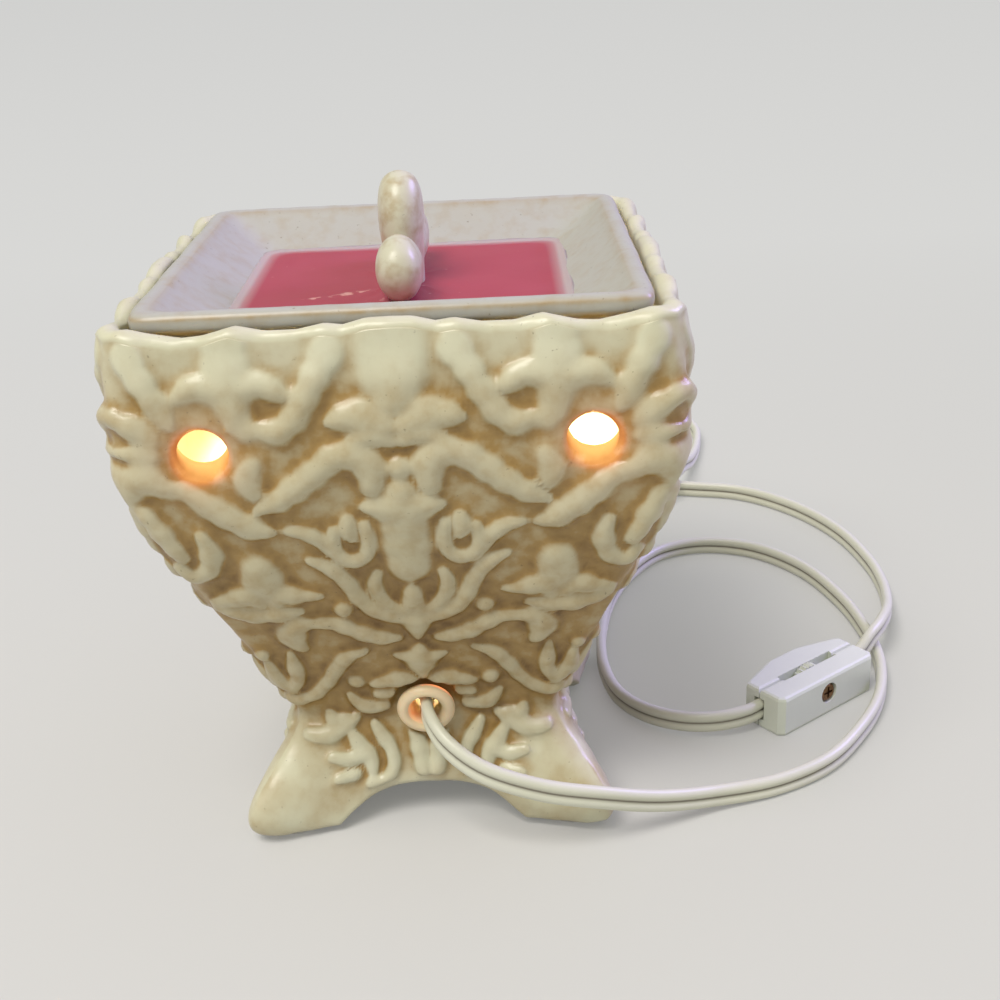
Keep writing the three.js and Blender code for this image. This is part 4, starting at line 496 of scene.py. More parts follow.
def glazed_earthenware(tree, glaze, thick, soil):
    """Slip-cast earthenware under a soft gloss glaze: cream where raised, brown wash gathered in the recesses."""
    place = add(tree, "ShaderNodeTexCoord")["Object"]
    # clouds of glaze thickness about 18 mm across, patches of wash of 4 mm, and kiln specks of about 1 mm
    cloud, fine, speck = (
        add(tree, "ShaderNodeTexNoise", {"Vector": place, "Scale": scale, "Detail": detail})["Fac"]
        for scale, detail in ((55.0, 4.0), (260.0, 3.0), (900.0, 2.0)))
    wash, film, outline, glow = (
        add(tree, "ShaderNodeAttribute", attribute_name=name)["Fac"] for name in ("wash", "film", "leaf", "glow"))
    # the leaves' outline is a distance: its level at 1.2 half widths draws their edge; wash gathers at their foot
    leaf = add(tree, "ShaderNodeMapRange", {0: outline, 1: 0.38, 2: 0.60}, interpolation_type="SMOOTHSTEP")[0]
    foot = add(tree, "ShaderNodeMapRange", {0: outline, 1: 0.0, 2: 0.40, 3: 0.76, 4: 1.0},
               interpolation_type="SMOOTHSTEP")[0]
    gathered = add(tree, "ShaderNodeMath", {0: wash, 1: foot}, operation="MULTIPLY")[0]
    recess = add(tree, "ShaderNodeMix", {0: leaf, 2: gathered, 3: film})[0]
    patch = add(tree, "ShaderNodeMapRange", {0: fine, 1: 0.3, 2: 0.7, 3: 0.78, 4: 1.16})[0]
    grime = add(tree, "ShaderNodeMapRange", {0: fine, 1: 0.46, 2: 0.74, 3: 0.0, 4: soil})[0]
    amount = add(tree, "ShaderNodeMath", {0: recess, 1: patch, 2: grime}, operation="MULTIPLY_ADD",
                 use_clamp=True)[0]
    # a thin film of the wash tans the leaves, a thick one browns the hollows
    thin, full = (add(tree, "ShaderNodeMapRange", {0: amount, 1: low, 2: high})[0]
                  for low, high in ((0.0, 0.5), (0.5, 1.0)))
    darkening = add(tree, "ShaderNodeMapRange", {0: speck, 1: 0.70, 2: 0.78, 3: 0.0, 4: 0.45})[0]
    colour = paint(glaze)
    for share, over in ((cloud, thick), (thin, colours().stain), (full, colours().wash), (darkening, "#5a4a2e")):
        colour = add(tree, "ShaderNodeMix", {0: share, 6: colour, 7: paint(over)}, data_type="RGBA")[2]
    step = add(tree, "ShaderNodeBump", {"Strength": 0.45, "Distance": 0.0005, "Height": leaf})[0]
    relief = {"Strength": 0.25, "Distance": 0.0004, "Height": fine, "Normal": step}
    # painted glow: emission stands in for the lamp's light at the holes' edges and in their bores, deep orange
    # where faint, amber where strong
    glow_level = add(tree, "ShaderNodeMapRange", {0: glow, 1: 0.3, 2: 0.9})[0]
    glow_tint = {0: glow_level, 6: paint("#ff6a30"), 7: paint("#ffcb78")}
    return {
        "Base Color": colour, "Roughness": add(tree, "ShaderNodeMapRange", {0: cloud, 3: 0.24, 4: 0.42})[0],
        "IOR": 1.5, "Normal": add(tree, "ShaderNodeBump", relief)[0],
        "Emission Color": add(tree, "ShaderNodeMix", glow_tint, data_type="RGBA")[2], "Emission Strength": glow,
        # the bores of the holes are left unglazed, so they have no gloss
        "Specular IOR Level": add(tree, "ShaderNodeMapRange", {0: glow, 1: 0.2, 2: 0.45, 3: 0.5, 4: 0.0})[0]}


def plain_finish(tree, colour, rough, metallic, cloud_mm, spread, grain):
    """A moulded, plated or pressed finish: one colour with clouds of handling marks and a fine grain."""
    place = add(tree, "ShaderNodeTexCoord")["Object"]
    cloud = add(tree, "ShaderNodeTexNoise", {"Vector": place, "Scale": 1000.0 / cloud_mm, "Detail": 5.0})["Fac"]
    # the grain is drawn at about 0.45 mm, coarse enough to show
    grit = add(tree, "ShaderNodeTexNoise", {"Vector": place, "Scale": 2200.0, "Detail": 2.0})["Fac"]
    base = np.array(paint(colour))
    tone = {0: cloud, 6: paint(base * (1 + spread)), 7: paint(base * (1 - spread))}
    dull = {0: cloud, 3: rough * 0.8, 4: min(1.0, rough * 1.25)}
    return {"Base Color": add(tree, "ShaderNodeMix", tone, data_type="RGBA")[2], "Metallic": metallic,
            "Roughness": add(tree, "ShaderNodeMapRange", dull)[0],
            "Normal": add(tree, "ShaderNodeBump", {"Strength": grain, "Distance": 0.0002, "Height": grit})[0]}


def soft_pvc(tree):
    """Extruded flexible PVC: even off-white with a satin skin, and painted shade along the groove between the
    cores.
    """
    place = add(tree, "ShaderNodeTexCoord")["Object"]
    # smears of handling about 14 mm long
    smear = add(tree, "ShaderNodeTexNoise", {"Vector": place, "Scale": 70.0, "Detail": 4.0})["Fac"]
    groove = add(tree, "ShaderNodeAttribute", attribute_name="groove")["Fac"]
    tone = {0: smear, 6: paint(colours().lead), 7: paint("#c8c8b3")}
    # painted shade: the groove between the cores is darkened
    lined = {0: groove, 6: add(tree, "ShaderNodeMix", tone, data_type="RGBA")[2], 7: paint("#6f6758")}
    return {"Base Color": add(tree, "ShaderNodeMix", lined, data_type="RGBA")[2], "IOR": 1.53,
            "Roughness": add(tree, "ShaderNodeMapRange", {0: smear, 3: 0.3, 4: 0.5})[0],
            "Normal": add(tree, "ShaderNodeBump", {"Strength": 0.08, "Distance": 0.0003, "Height": smear})[0]}


def set_wax(tree):
    """Poured paraffin and soy wax, set smooth: dyed through, waxy sheen, lighter bloom and a few flecks on top."""
    place = add(tree, "ShaderNodeTexCoord")["Object"]
    # clouds about 17 mm across and flecks of about 2.4 mm
    cloud, fleck = (add(tree, "ShaderNodeTexNoise", {"Vector": place, "Scale": scale, "Detail": detail})["Fac"]
                    for scale, detail in ((60.0, 4.0), (420.0, 3.0)))
    edge, crust = (add(tree, "ShaderNodeAttribute", attribute_name=name)["Fac"] for name in ("edge", "crust"))
    # where it thins out at its edge the glaze shows through
    thin = add(tree, "ShaderNodeMapRange", {0: edge, 1: 0.12, 2: 0.46, 3: 0.0, 4: 0.95})[0]
    sprinkled = add(tree, "ShaderNodeMath", {0: fleck, 1: crust}, operation="ADD")[0]
    bloom = add(tree, "ShaderNodeMapRange", {0: sprinkled, 1: 0.72, 2: 0.86, 3: 0.0, 4: 0.75})[0]
    colour = paint(colours().wax)
    for share, over in ((cloud, "#9e3848"), (edge, "#9c2f3c"), (thin, "#b7a49f"), (bloom, "#d9a49c")):
        colour = add(tree, "ShaderNodeMix", {0: share, 6: colour, 7: paint(over)}, data_type="RGBA")[2]
    return {"Base Color": colour, "Roughness": 0.46, "IOR": 1.36,
            "Normal": add(tree, "ShaderNodeBump", {"Strength": 0.2, "Distance": 0.0006, "Height": cloud})[0],
            "Subsurface Weight": 0.25, "Subsurface Radius": (0.006, 0.002, 0.0015), "Subsurface Scale": 1.0}


def lit_glass(tree):
    """Thin blown soda-lime glass of a lit lamp: see-through, with the warm light in it."""
    place = add(tree, "ShaderNodeTexCoord")["Object"]
    # swirls about 8 mm across
    swirl = add(tree, "ShaderNodeTexNoise", {"Vector": place, "Scale": 120.0, "Detail": 2.0})["Fac"]
    return {"Base Color": paint("#fff1d8"), "Alpha": 0.3, "IOR": 1.5,
            "Roughness": add(tree, "ShaderNodeMapRange", {0: swirl, 3: 0.03, 4: 0.1})[0],
            "Emission Color": paint("#ffb45e"), "Emission Strength": 2.0}


def hot_tungsten(tree):
    """Drawn tungsten wire, white hot."""
    place = add(tree, "ShaderNodeTexCoord")["Object"]
    # hotter and cooler spots about 0.7 mm apart
    spots = add(tree, "ShaderNodeTexNoise", {"Vector": place, "Scale": 1500.0})["Fac"]
    return {"Base Color": paint("#8d8a86"), "Metallic": 1.0, "Roughness": 0.4, "Emission Color": paint("#ffc888"),
            "Emission Strength": add(tree, "ShaderNodeMapRange", {0: spots, 3: 14.0, 4: 22.0})[0]}


def ring_nylon(tree):
    """Natural nylon, moulded smooth: milky, with a painted glow at its edge standing in for the lamp's light."""
    place = add(tree, "ShaderNodeTexCoord")["Object"]
    # milky clouds about 5.5 mm across
    milk = add(tree, "ShaderNodeTexNoise", {"Vector": place, "Scale": 180.0, "Detail": 3.0})["Fac"]
    tone = {0: milk, 6: paint("#e9d8b6"), 7: paint("#dcc49c")}
    return {"Base Color": add(tree, "ShaderNodeMix", tone, data_type="RGBA")[2], "IOR": 1.53,
            "Roughness": add(tree, "ShaderNodeMapRange", {0: milk, 3: 0.3, 4: 0.45})[0], "Subsurface Weight": 0.3,
            "Subsurface Radius": (0.003, 0.0018, 0.001), "Subsurface Scale": 1.0,
            # painted glow: emission stands in for the lamp's light on the ring
            "Emission Color": paint("#ff8a48"),
            "Emission Strength": add(tree, "ShaderNodeAttribute", attribute_name="glow")["Fac"]}


# Each material's recipe and its values: a colour is a hex code or one of the user's colours
FINISHES = {
    "glazed_earthenware_washed": (glazed_earthenware, "glaze", "#c4c2a2", 0.06),
    "glazed_earthenware_dish": (glazed_earthenware, "dish", "#aeada0", 0.10),
    "glazed_earthenware_worn": (glazed_earthenware, "#d0d0ba", "#bfba9c", 0.3),
    "soft_pvc_white": (soft_pvc,),
    "set_wax": (set_wax,),
    "soda_glass_lit": (lit_glass,),
    "tungsten_hot": (hot_tungsten,),
    "moulded_nylon": (ring_nylon,),
    # rolled and turned brass, bare: yellow metal with dull clouds from handling; and a screw's, gone brown
    "rolled_brass": (plain_finish, "#d0a85c", 0.3, 1.0, 3.0, 0.15, 0.1),
    "tarnished_brass": (plain_finish, "#8a6a4c", 0.42, 1.0, 1.2, 0.35, 0.1),
    # steel under bright zinc, slightly clouded
    "zinc_plated_steel": (plain_finish, "#c3c0b8", 0.34, 1.0, 3.0, 0.12, 0.1),
    # pressed black glass between a lamp cap's contacts: deep and glossy
    "pressed_black_glass": (plain_finish, "#17161a", 0.12, 0.0, 2.0, 0.3, 0.1),
    # injection-moulded urea: ivory white, satin, slightly sunk and yellowed in clouds, with a fine mould grain
    "moulded_urea": (plain_finish, "case", 0.38, 0.0, 11.0, 0.05, 0.16),
    # PVC moulded over the plug's blades in the lead's own white, and the black of a single lead and the coil's tie
    "moulded_pvc": (plain_finish, "lead", 0.42, 0.0, 8.0, 0.06, 0.15),
    "soft_pvc_black": (plain_finish, "#2a2825", 0.45, 0.0, 6.0, 0.12, 0.1),
    # dark moulded phenolic, brown pressed fibre with a rough grain, and dull rubber
    "moulded_phenolic": (plain_finish, "#262220", 0.32, 0.0, 9.0, 0.2, 0.1),
    "pressed_fibre": (plain_finish, "#7d5a41", 0.8, 0.0, 2.5, 0.25, 0.4),
    "pad_rubber": (plain_finish, "#403f3b", 0.8, 0.0, 4.0, 0.2, 0.3),
}


def empty_material(name):
    """A new material with no nodes, and its node tree."""
    made = bpy.data.materials.new(name)
    made.use_nodes = True
    made.node_tree.nodes.clear()
    return made, made.node_tree


def material(name):
    """The material of this name. A new one gets a Principled surface with the inputs that its recipe returns."""
    made = bpy.data.materials.get(name)
    if made is None:
        made, tree = empty_material(name)
        recipe, *values = FINISHES[name]
        values = [getattr(colours(), v, v) if isinstance(v, str) else v for v in values]
        shader = add(tree, "ShaderNodeBsdfPrincipled", recipe(tree, *values))[0]
        add(tree, "ShaderNodeOutputMaterial", {"Surface": shader})
    return made


# Ceramic body
def face_half(z):
    """Half width of a plain face at height z: a skirt, a swelling bombe side and a slightly drawn-in rim."""
    z = np.asarray(z, float)
    top = (z - BELLY_HEIGHT) / (RIM_HEIGHT - BELLY_HEIGHT)
    middle = np.clip((z - WAIST_HEIGHT) / (BELLY_HEIGHT - WAIST_HEIGHT), 0, 1)
    low = (WAIST_HEIGHT - z) / WAIST_HEIGHT
    swell = 0.62 * np.sin(middle * math.pi / 2) + 0.38 * ease(middle)
    half = WAIST_HALF + (BELLY_HALF - WAIST_HALF) * swell
    half = np.where(z > BELLY_HEIGHT, BELLY_HALF - (BELLY_HALF - RIM_HALF) * top ** 2, half)
    return np.where(z < WAIST_HEIGHT, WAIST_HALF + (SKIRT_HALF - WAIST_HALF) * low ** 2, half)


def inner_half(z):
    """Half width of the inner wall at height z."""
    return face_half(z) - WALL


def corner_half(z):
    """Reach of the corners at height z: the faces' own, or the flare of the foot with its tucked toe."""
    flare = WAIST_HALF + (FOOT_REACH - WAIST_HALF) * ease((WAIST_HEIGHT - z) / (WAIST_HEIGHT - FOOT_HEIGHT))
    toe = np.clip((FOOT_HEIGHT - z) / FOOT_HEIGHT, 0, 1)
    return np.where(z < WAIST_HEIGHT, np.maximum(face_half(z), flare - TOE_TUCK * toe ** 2), face_half(z))


def arch_height(x):
    """Height of the arch between two feet: one less the distance from its middle, in half spans, to a power."""
    out = np.minimum(1, np.abs(2 * x / ARCH_SPAN))
    return np.maximum(FOOT_BOTTOM, ARCH_HEIGHT * (1 - out ** ARCH_POWER))


def arch_edge():
    """Height of a face's lower edge in each column: where its reach and the arch agree, after six rounds."""
    edge = np.full(SLOPE.shape, 6.0)
    for _ in range(6):
        edge = arch_height(SLOPE * square_reach(SLOPE, face_half(edge), corner_half(edge)))
    return edge


def to_line(px, pz, line):
    """Share of the way along each piece of a line that is nearest to each point, and the distance there."""
    start, run = line[:-1], np.diff(line, axis=0)
    square = np.maximum(run[:, 0] ** 2 + run[:, 1] ** 2, 1e-9)
    dx, dz = px[..., None] - start[:, 0], pz[..., None] - start[:, 1]
    share = np.clip((dx * run[:, 0] + dz * run[:, 1]) / square, 0, 1)
    return share, np.hypot(dx - share * run[:, 0], dz - share * run[:, 1])


def ornament(x, z):
    """Relief height over the ground, 0 to 1: each stroke is a rounded ridge about its spline, as high as it is
    wide up to a limit, its edge lobed by a sine along it; strokes join by a power mean of their heights.
    The second value, for the leaves' outline, is one less the distance to the nearest spline as a
    share of its reach."""
    x = np.abs(x)
    total, outline = np.zeros((2, *x.shape))
    for stroke in RELIEF:
        line = spline(stroke, 6)
        ripple = np.sin(run_along(line[:, :2]) * RIPPLE_RATE + RIPPLE_PHASE)
        line[:, 2] *= 1 + RIPPLE_SHARE * ripple * ease(line[:, 2] - RIPPLE_FROM)
        reach = line[:, 2].max() * OUTLINE_REACH
        near = (x > line[:, 0].min() - reach) & (x < line[:, 0].max() + reach)
        near &= (z > line[:, 1].min() - reach) & (z < line[:, 1].max() + reach)
        share, off = to_line(x[near], z[near], line)
        wide = np.maximum(line[:-1, 2] + share * np.diff(line[:, 2]), 0.3)
        height = np.minimum(1, 0.5 + 0.24 * wide)
        ridge = height * np.maximum(0, 1 - (off / (RIDGE_FOOT * wide)) ** RIDGE_POWER)
        total[near] += ridge.max(1) ** JOIN_POWER
        outline[near] = np.maximum(outline[near], (1 - off / (OUTLINE_REACH * wide)).max(1))
    return np.stack([total ** (1 / JOIN_POWER), outline])


def side_holes(front):
    """A side's holes: x, z and radius in mm, and the column, row and half width of the block of cells for each."""
    column = int(round((1 + HOLE_OFFSET / float(face_half(HOLE_HEIGHT))) * ACROSS / 2))
    holes = [(x, HOLE_HEIGHT, HOLE_RADIUS, middle, LIGHT_ROW, LIGHT_BLOCK)
             for x, middle in ((HOLE_OFFSET, column), (-HOLE_OFFSET, ACROSS - column))]
    return holes + front * [(0.0, GLAND_HEIGHT, GLAND_HOLE, ACROSS // 2, GLAND_ROW, GLAND_BLOCK)]


def opened(z, half, row, holes):
    """Moves the grid round each hole so that a block of cells becomes the hole's circle: slopes, heights, and which
    points the block loses. A point at block distance d goes to the circle's direction at the hole's radius,
    fading out over 6 cells that are 0.95 mm apart."""
    fade, apart = 6, 0.95
    column = np.arange(ACROSS)[None, :]
    x = SLOPE * half(z)
    gone = np.zeros(x.shape, bool)
    for x0, z0, radius, middle, level, block in holes:
        dx, dz = column - middle, row[:, None] - level
        ring = np.maximum(np.abs(dx), np.abs(dz))
        share = np.clip((block + fade - ring) / fade, 0, 1)
        span = np.maximum(np.hypot(dx, dz), 1e-9)
        out = np.where(ring <= block, radius * ring / block, radius + (ring - block) * apart)
        x = x + share * (x0 + out * dx / span - x)
        z = z + share * (z0 + out * dz / span - z)
        gone |= ring < block
    return x / half(z), z, gone


def body_side(front):
    """One side of the body as a closed section of (x, y, z) strips, rows by columns: from the arch's edge up the
    outer face, over the rim, down the inner wall, in over the floor, down the stem hole and out under the foot."""
    t, edge, holes = SLOPE, arch_edge(), side_holes(front)
    shoulder = RIM_HEIGHT - RIM_ROUND
    crest = np.interp(np.abs(t) * RIM_HALF, SCALLOP_X, SCALLOP_Z) * sizes().scallop
    rise = np.arange(LOW_ROWS)[:, None] / LOW_ROWS
    climb = np.arange(HIGH_ROWS + 1)[:, None] / HIGH_ROWS
    z = np.concatenate([edge + (SPLIT - edge) * rise,
                        SPLIT + (shoulder - SPLIT) * climb + crest * ease((climb - 0.86) / 0.14)])
    slope, z, gone = opened(z, face_half, np.arange(-LOW_ROWS, HIGH_ROWS + 1), holes)
    reach = square_reach(slope, face_half(z), corner_half(z)) - GROUND
    outer = slope * reach, -reach, z
    half = face_half(shoulder) - WALL / 2 + WALL / 2 * np.cos(RIM_BEND)
    reach = square_reach(t, half, half)
    rim = t * reach, -reach, shoulder + crest + RIM_ROUND * np.sin(RIM_BEND)
    # the bores of the light holes climb inwards
    row = WALL_ROWS
    z = np.where(row < 0, SPLIT + LOW_STEP * row, SPLIT + (shoulder - SPLIT) / HIGH_ROWS * row)[:, None] + 0 * t
    inside = [(h[0], h[1] + HOLE_CLIMB, *h[2:]) for h in holes[:2]] + holes[2:]
    slope, z, lost = opened(z, inner_half, row, inside)
    reach = square_reach(slope, inner_half(z), inner_half(z))
    wall = slope * reach, -reach, z
    span = np.hypot(t, 1)

    def to_stem(half, z, f):
        x, y = t * square_reach(t, half, half), -square_reach(t, half, half)
        return x + (STEM_HOLE * t / span - x) * f, y - (STEM_HOLE / span + y) * f, z + 0 * t * f

    f = np.linspace(0, 1, 4)[:, None]
    floor = to_stem(inner_half(FLOOR_TOP), FLOOR_TOP, f)
    under = to_stem(FOOT_INNER_HALF, FLOOR_UNDERSIDE, f[::-1])
    reach = square_reach(t, FOOT_INNER_HALF, FOOT_INNER_HALF)
    spring = arch_height(t * reach)
    f = f[1:]
    recess = t * reach + 0 * f, -reach + 0 * f, FLOOR_UNDERSIDE + (spring - FLOOR_UNDERSIDE) * f
    f = np.linspace(0, 1, 5)[1:-1, None]
    toe_x, toe_y = outer[0][:1] * TOE_SHARE, outer[1][:1] * TOE_SHARE
    soffit = t * reach + (toe_x - t * reach) * f, -reach + (toe_y + reach) * f, spring + (edge - spring) * f
    return Side([outer, rim, wall, floor, under, recess, soffit], gone, lost)


def hole_walls(wall_start, side, holes):
    """Faces of the tunnel of each hole, between the block's edge on the outer face and on the inner wall."""
    columns = 4 * ACROSS
    place = {int(r): wall_start + k for k, r in enumerate(WALL_ROWS)}
    faces = []
    for _, _, _, middle, level, block in holes:
        run = np.arange(-block, block)[:, None]
        ring = four_sides(block + 0 * run, run, 0 * run).transpose(1, 0, 2).reshape(-1, 3)
        column, row = side * ACROSS + middle + ring[:, 0], level + ring[:, 1]
        outer = (LOW_ROWS + row) * columns + column
        inner = np.array([place[int(r)] for r in row]) * columns + column
        faces.append(np.stack([outer, np.roll(outer, -1), np.roll(inner, -1), inner], 1))
    return np.concatenate(faces)


def body_relief(sides, z, above, gland, light):
    """Height of the ornament and the leaves' outline on the outer face. Both fade out at the arch's edge and the
    lead's ring, the height also at the rim and the light holes. Cells are drawn out round the light holes, so both
    are softened there."""
    strips = [side.strips[OUTER] for side in sides]
    raised, leaf = np.concatenate([ornament(face_x, face_z) for face_x, _, face_z in strips], 2)
    fade = ease((above - 0.5) / 3) * ease((gland - 7.6) / 2.0)
    raised = softened(raised, 0.6) * fade * (1 - 0.6 * ease((z - 126) / 9))
    leaf = softened(leaf, 0.55) * fade
    near_hole = np.exp(-((light - 11) / 4) ** 4)
    raised, leaf = (part + near_hole * (softened(part, 1.2) - part) for part in (raised, leaf))
    return raised * (0.35 + 0.65 * ease((light - HOLE_RADIUS) / 3.0)), leaf


def body_wash(x, z, above, raised):
    """Brown wash on the outer face and its film on the leaves: both thin out to the rim, the wash is thickest in
    the hollows, more of it low on the face is painted shade under the belly, and the feet are wiped clean and
    mottled by crossed sines."""
    clean = ease((above - 1) / 7) * (1 - 0.9 * ease((np.abs(x) - 19) / 8) * ease((34 - z) / 12))
    bare = (1 - clean) * ease((40 - z) / 8)
    deep = ease((softened(raised, 2.4) - raised + 0.05) / 0.45)
    thin = 0.27 * ease((133 - z) / 15) * ease((z - 16) / 22)
    # painted shade: extra wash grows low on the face, where the swelling belly shades it
    wash_and_low_shade = thin + 0.11 + 0.22 * ease((108 - z) / 50) + 0.27 * deep
    sheen = thin * (1 - 0.3 * ease((z - 68) / 20) * ease((126 - z) / 10))
    mottle = 0.5 + 0.3 * np.sin(x * 0.41 + 0.7 * np.sin(z * 0.37)) + 0.3 * np.sin(z * 0.53 + x * 0.19 + 1.1)
    brown = np.clip(wash_and_low_shade, 0, 1) * clean + 0.26 * bare * np.clip(mottle, 0, 1)
    return brown, sheen * clean + 0.1 * bare


def body_mesh():
    """The whole body: its base surface, then moved along its normals by ornament, edge rounding and waviness.
    The attributes are the wash, with painted shade low on the face, its film on the leaves, the leaves' outline,
    and the glow: the lamp's light painted round the light holes and in their bores."""
    sides = [body_side(k == 0) for k in range(4)]
    strips = [np.concatenate([four_sides(*side.strips[n])[:, k * ACROSS:(k + 1) * ACROSS]
                              for k, side in enumerate(sides)], 1) for n in range(STRIPS)]
    outer, rim, wall = strips[OUTER], strips[RIM], strips[INNER]
    normal = outward(outer)
    # places on each side's own face and wall, and distances there from the arch's edge and the holes
    x, z, wall_x, wall_z = (np.concatenate([side.strips[n][axis] for side in sides], 1)
                            for n in (OUTER, INNER) for axis in (0, 2))
    above = z - np.tile(arch_edge(), 4)
    front = np.arange(4 * ACROSS) < ACROSS
    gland = np.where(front, np.hypot(x, z - GLAND_HEIGHT), np.inf)
    light = np.hypot(np.abs(x) - HOLE_OFFSET, z - HOLE_HEIGHT)
    below = np.clip((HOLE_HEIGHT - z) / HOLE_RADIUS, 0, 1)
    apart = np.maximum(light - HOLE_RADIUS, 0)
    raised, leaf = body_relief(sides, z, above, gland, light)
    wave = 0.16 * np.sin(x * 0.31 + 1.3) * np.sin(z * 0.27) + 0.1 * np.sin(x * 0.83 + z * 0.61)
    inset = FOOT_ROUND - np.sqrt(np.maximum(0, FOOT_ROUND ** 2 - np.clip(FOOT_ROUND - above, 0, FOOT_ROUND) ** 2))
    lip = np.maximum(0, 1 - apart / (1.1 + 0.6 * below)) ** 2 * (0.8 + 0.3 * below)
    lift = GROUND * 0.15 + sizes().relief_depth * raised + wave * ease((gland - 7) / 4) - inset - lip
    shaped = outer + normal * lift[..., None]
    # the lead's ring seats on a flat
    seat = (1 - ease((gland - 7.4) / 1.4))[..., None]
    shaped = shaped * (1 - seat) + (outer * [1, 0, 1] - [0, WALL_FACE, 0]) * seat
    rim = rim + np.maximum(0, np.cos(RIM_BEND))[..., None] * ((lift[-1] - GROUND)[:, None] * normal[-1])
    grid = np.concatenate([shaped, rim] + strips[INNER:])
    wall_start = len(outer) + len(rim)
    face, tunnel = slice(0, len(outer)), slice(wall_start, wall_start + len(wall))
    gone = np.zeros(grid.shape[:2], bool)
    gone[face] = np.concatenate([side.face_gone for side in sides], 1)
    gone[tunnel] = np.concatenate([side.wall_gone for side in sides], 1)
    quads = grid_quads(*grid.shape[:2], close_rows=True)
    walls = [hole_walls(wall_start, k, side_holes(k == 0)) for k in range(4)]
    quads = np.concatenate([quads[~gone.ravel()[quads].any(1)], *walls])
    wash, film, outline, glow = np.zeros((4, *grid.shape[:2]))
    brown, film[face] = body_wash(x, z, above, raised)
    wash[face], outline[face] = np.maximum(brown, 0.8 * bell(apart, 0.4)), leaf
    # painted glow: emission round the light holes, stronger below them, stands in for the lamp's light
    glow[face] = (0.25 + 0.3 * below) * bell(apart, 0.8 + 0.4 * below) + 0.12 * np.exp(-apart / 3.0)
    bore = np.hypot(np.abs(wall_x) - HOLE_OFFSET, wall_z - HOLE_HEIGHT - HOLE_CLIMB)
    # the bores of the light holes are darkened by the full wash and given the full painted glow
    wash[tunnel] = glow[tunnel] = bell(np.maximum(bore - HOLE_RADIUS, 0), 0.9)
    used, renumbered = np.unique(quads, return_inverse=True)
    paints = {"wash": wash, "film": film, "leaf": outline, "glow": glow}
    return (grid.reshape(-1, 3)[used], renumbered.reshape(-1, 4), NO_FANS), {
        label: values.ravel()[used] for label, values in paints.items()}


def ledge_mesh():
    """The four ledges that carry the dish: a wedge with an eased nose, carried along the middle of each side."""
    wall = float(inner_half(LEDGE_TOP)) + 1.2
    section = np.array([(wall, LEDGE_FOOT), (LEDGE_TIP + 0.4, 124.0), (LEDGE_TIP, 124.6), (LEDGE_TIP, 126.6),
                        (LEDGE_TIP + 0.5, LEDGE_TOP), (wall, LEDGE_TOP)])
    x = np.linspace(-LEDGE_HALF, LEDGE_HALF, 9)[:, None]
    reach = wall + (section[:, 0] - wall) * (1 - 0.12 * (np.abs(x) / LEDGE_HALF) ** 8)
    points, quads, fans = capped(np.stack([x + 0 * reach, -reach, section[:, 1] + 0 * reach], -1))
    return joined([(side, quads, fans) for side in four_sides(*points.T[:, :, None]).transpose(1, 0, 2)])


# Dish, handle and wax
def bowl_side(f, half):
    """The bowl's side at share f of the way in: its height falls by the share to a power."""
    return np.stack([half - BOWL_IN * f, BOWL_TOP - BOWL_DOWN * f ** BOWL_POWER], 1)


def dish_mesh():
    """The dish as rounded square rings: out from under its floor, up its seat and side, over the lip and down the
    bowl; and how much the wash darkens it: under the lip, along the lip's worn edge and where the bowl starts."""
    outside = spline(DISH_OUTSIDE, 4)
    bowl = bowl_side(np.linspace(0, 1, 24)[1:], BOWL_HALF)
    profile = np.concatenate([outside, bowl, [(half, DISH_FLOOR) for half in (27, 18, 8)]])
    inside = ease((np.arange(len(profile)) - len(outside) + 3) / 12)
    grid = square_rings(profile, 26 - 6 * inside)
    x, y, z = np.moveaxis(grid, 2, 0)
    wave = 0.16 * np.sin(x * 0.17 + 0.6) * np.sin(y * 0.21 + z * 0.1) + 0.05 * np.sin(x * 0.7 + y * 0.9)
    grid = grid + outward(grid) * (wave * ease((z - 128) / 4))[..., None]
    half, high = profile.T
    # darker under the lip, along the lip's worn edge and where the bowl starts
    darkening = 0.05 + 0.5 * bell(high - LIP_UNDERSIDE, 0.7) * (half > DISH_SIDE) + 0.16 * bell(half - BOWL_HALF, 0.8)
    darkening += 0.32 * bell(np.hypot(half - LIP_EDGE[0], high - LIP_EDGE[1]), 0.6)
    return capped(grid), with_ends(np.repeat(darkening, grid.shape[1]))


def handle_mesh():
    """The cast handle: a middle lobe and two side petals, each an ellipse carried along its line with a changing
    breadth and thickness and a rounded tip."""
    parts = []
    for line, side in ((LOBE, 1), (PETAL, 1), (PETAL, -1)):
        y, z, broad, thick = even(spline(line, 10), 0.8).T
        section = ellipse(broad[:, None], thick[:, None], 40)
        parts.append(capped(carried(np.stack([0 * y, side * y, z], 1), section, (1.0, 0, 0))))
    return joined(parts)


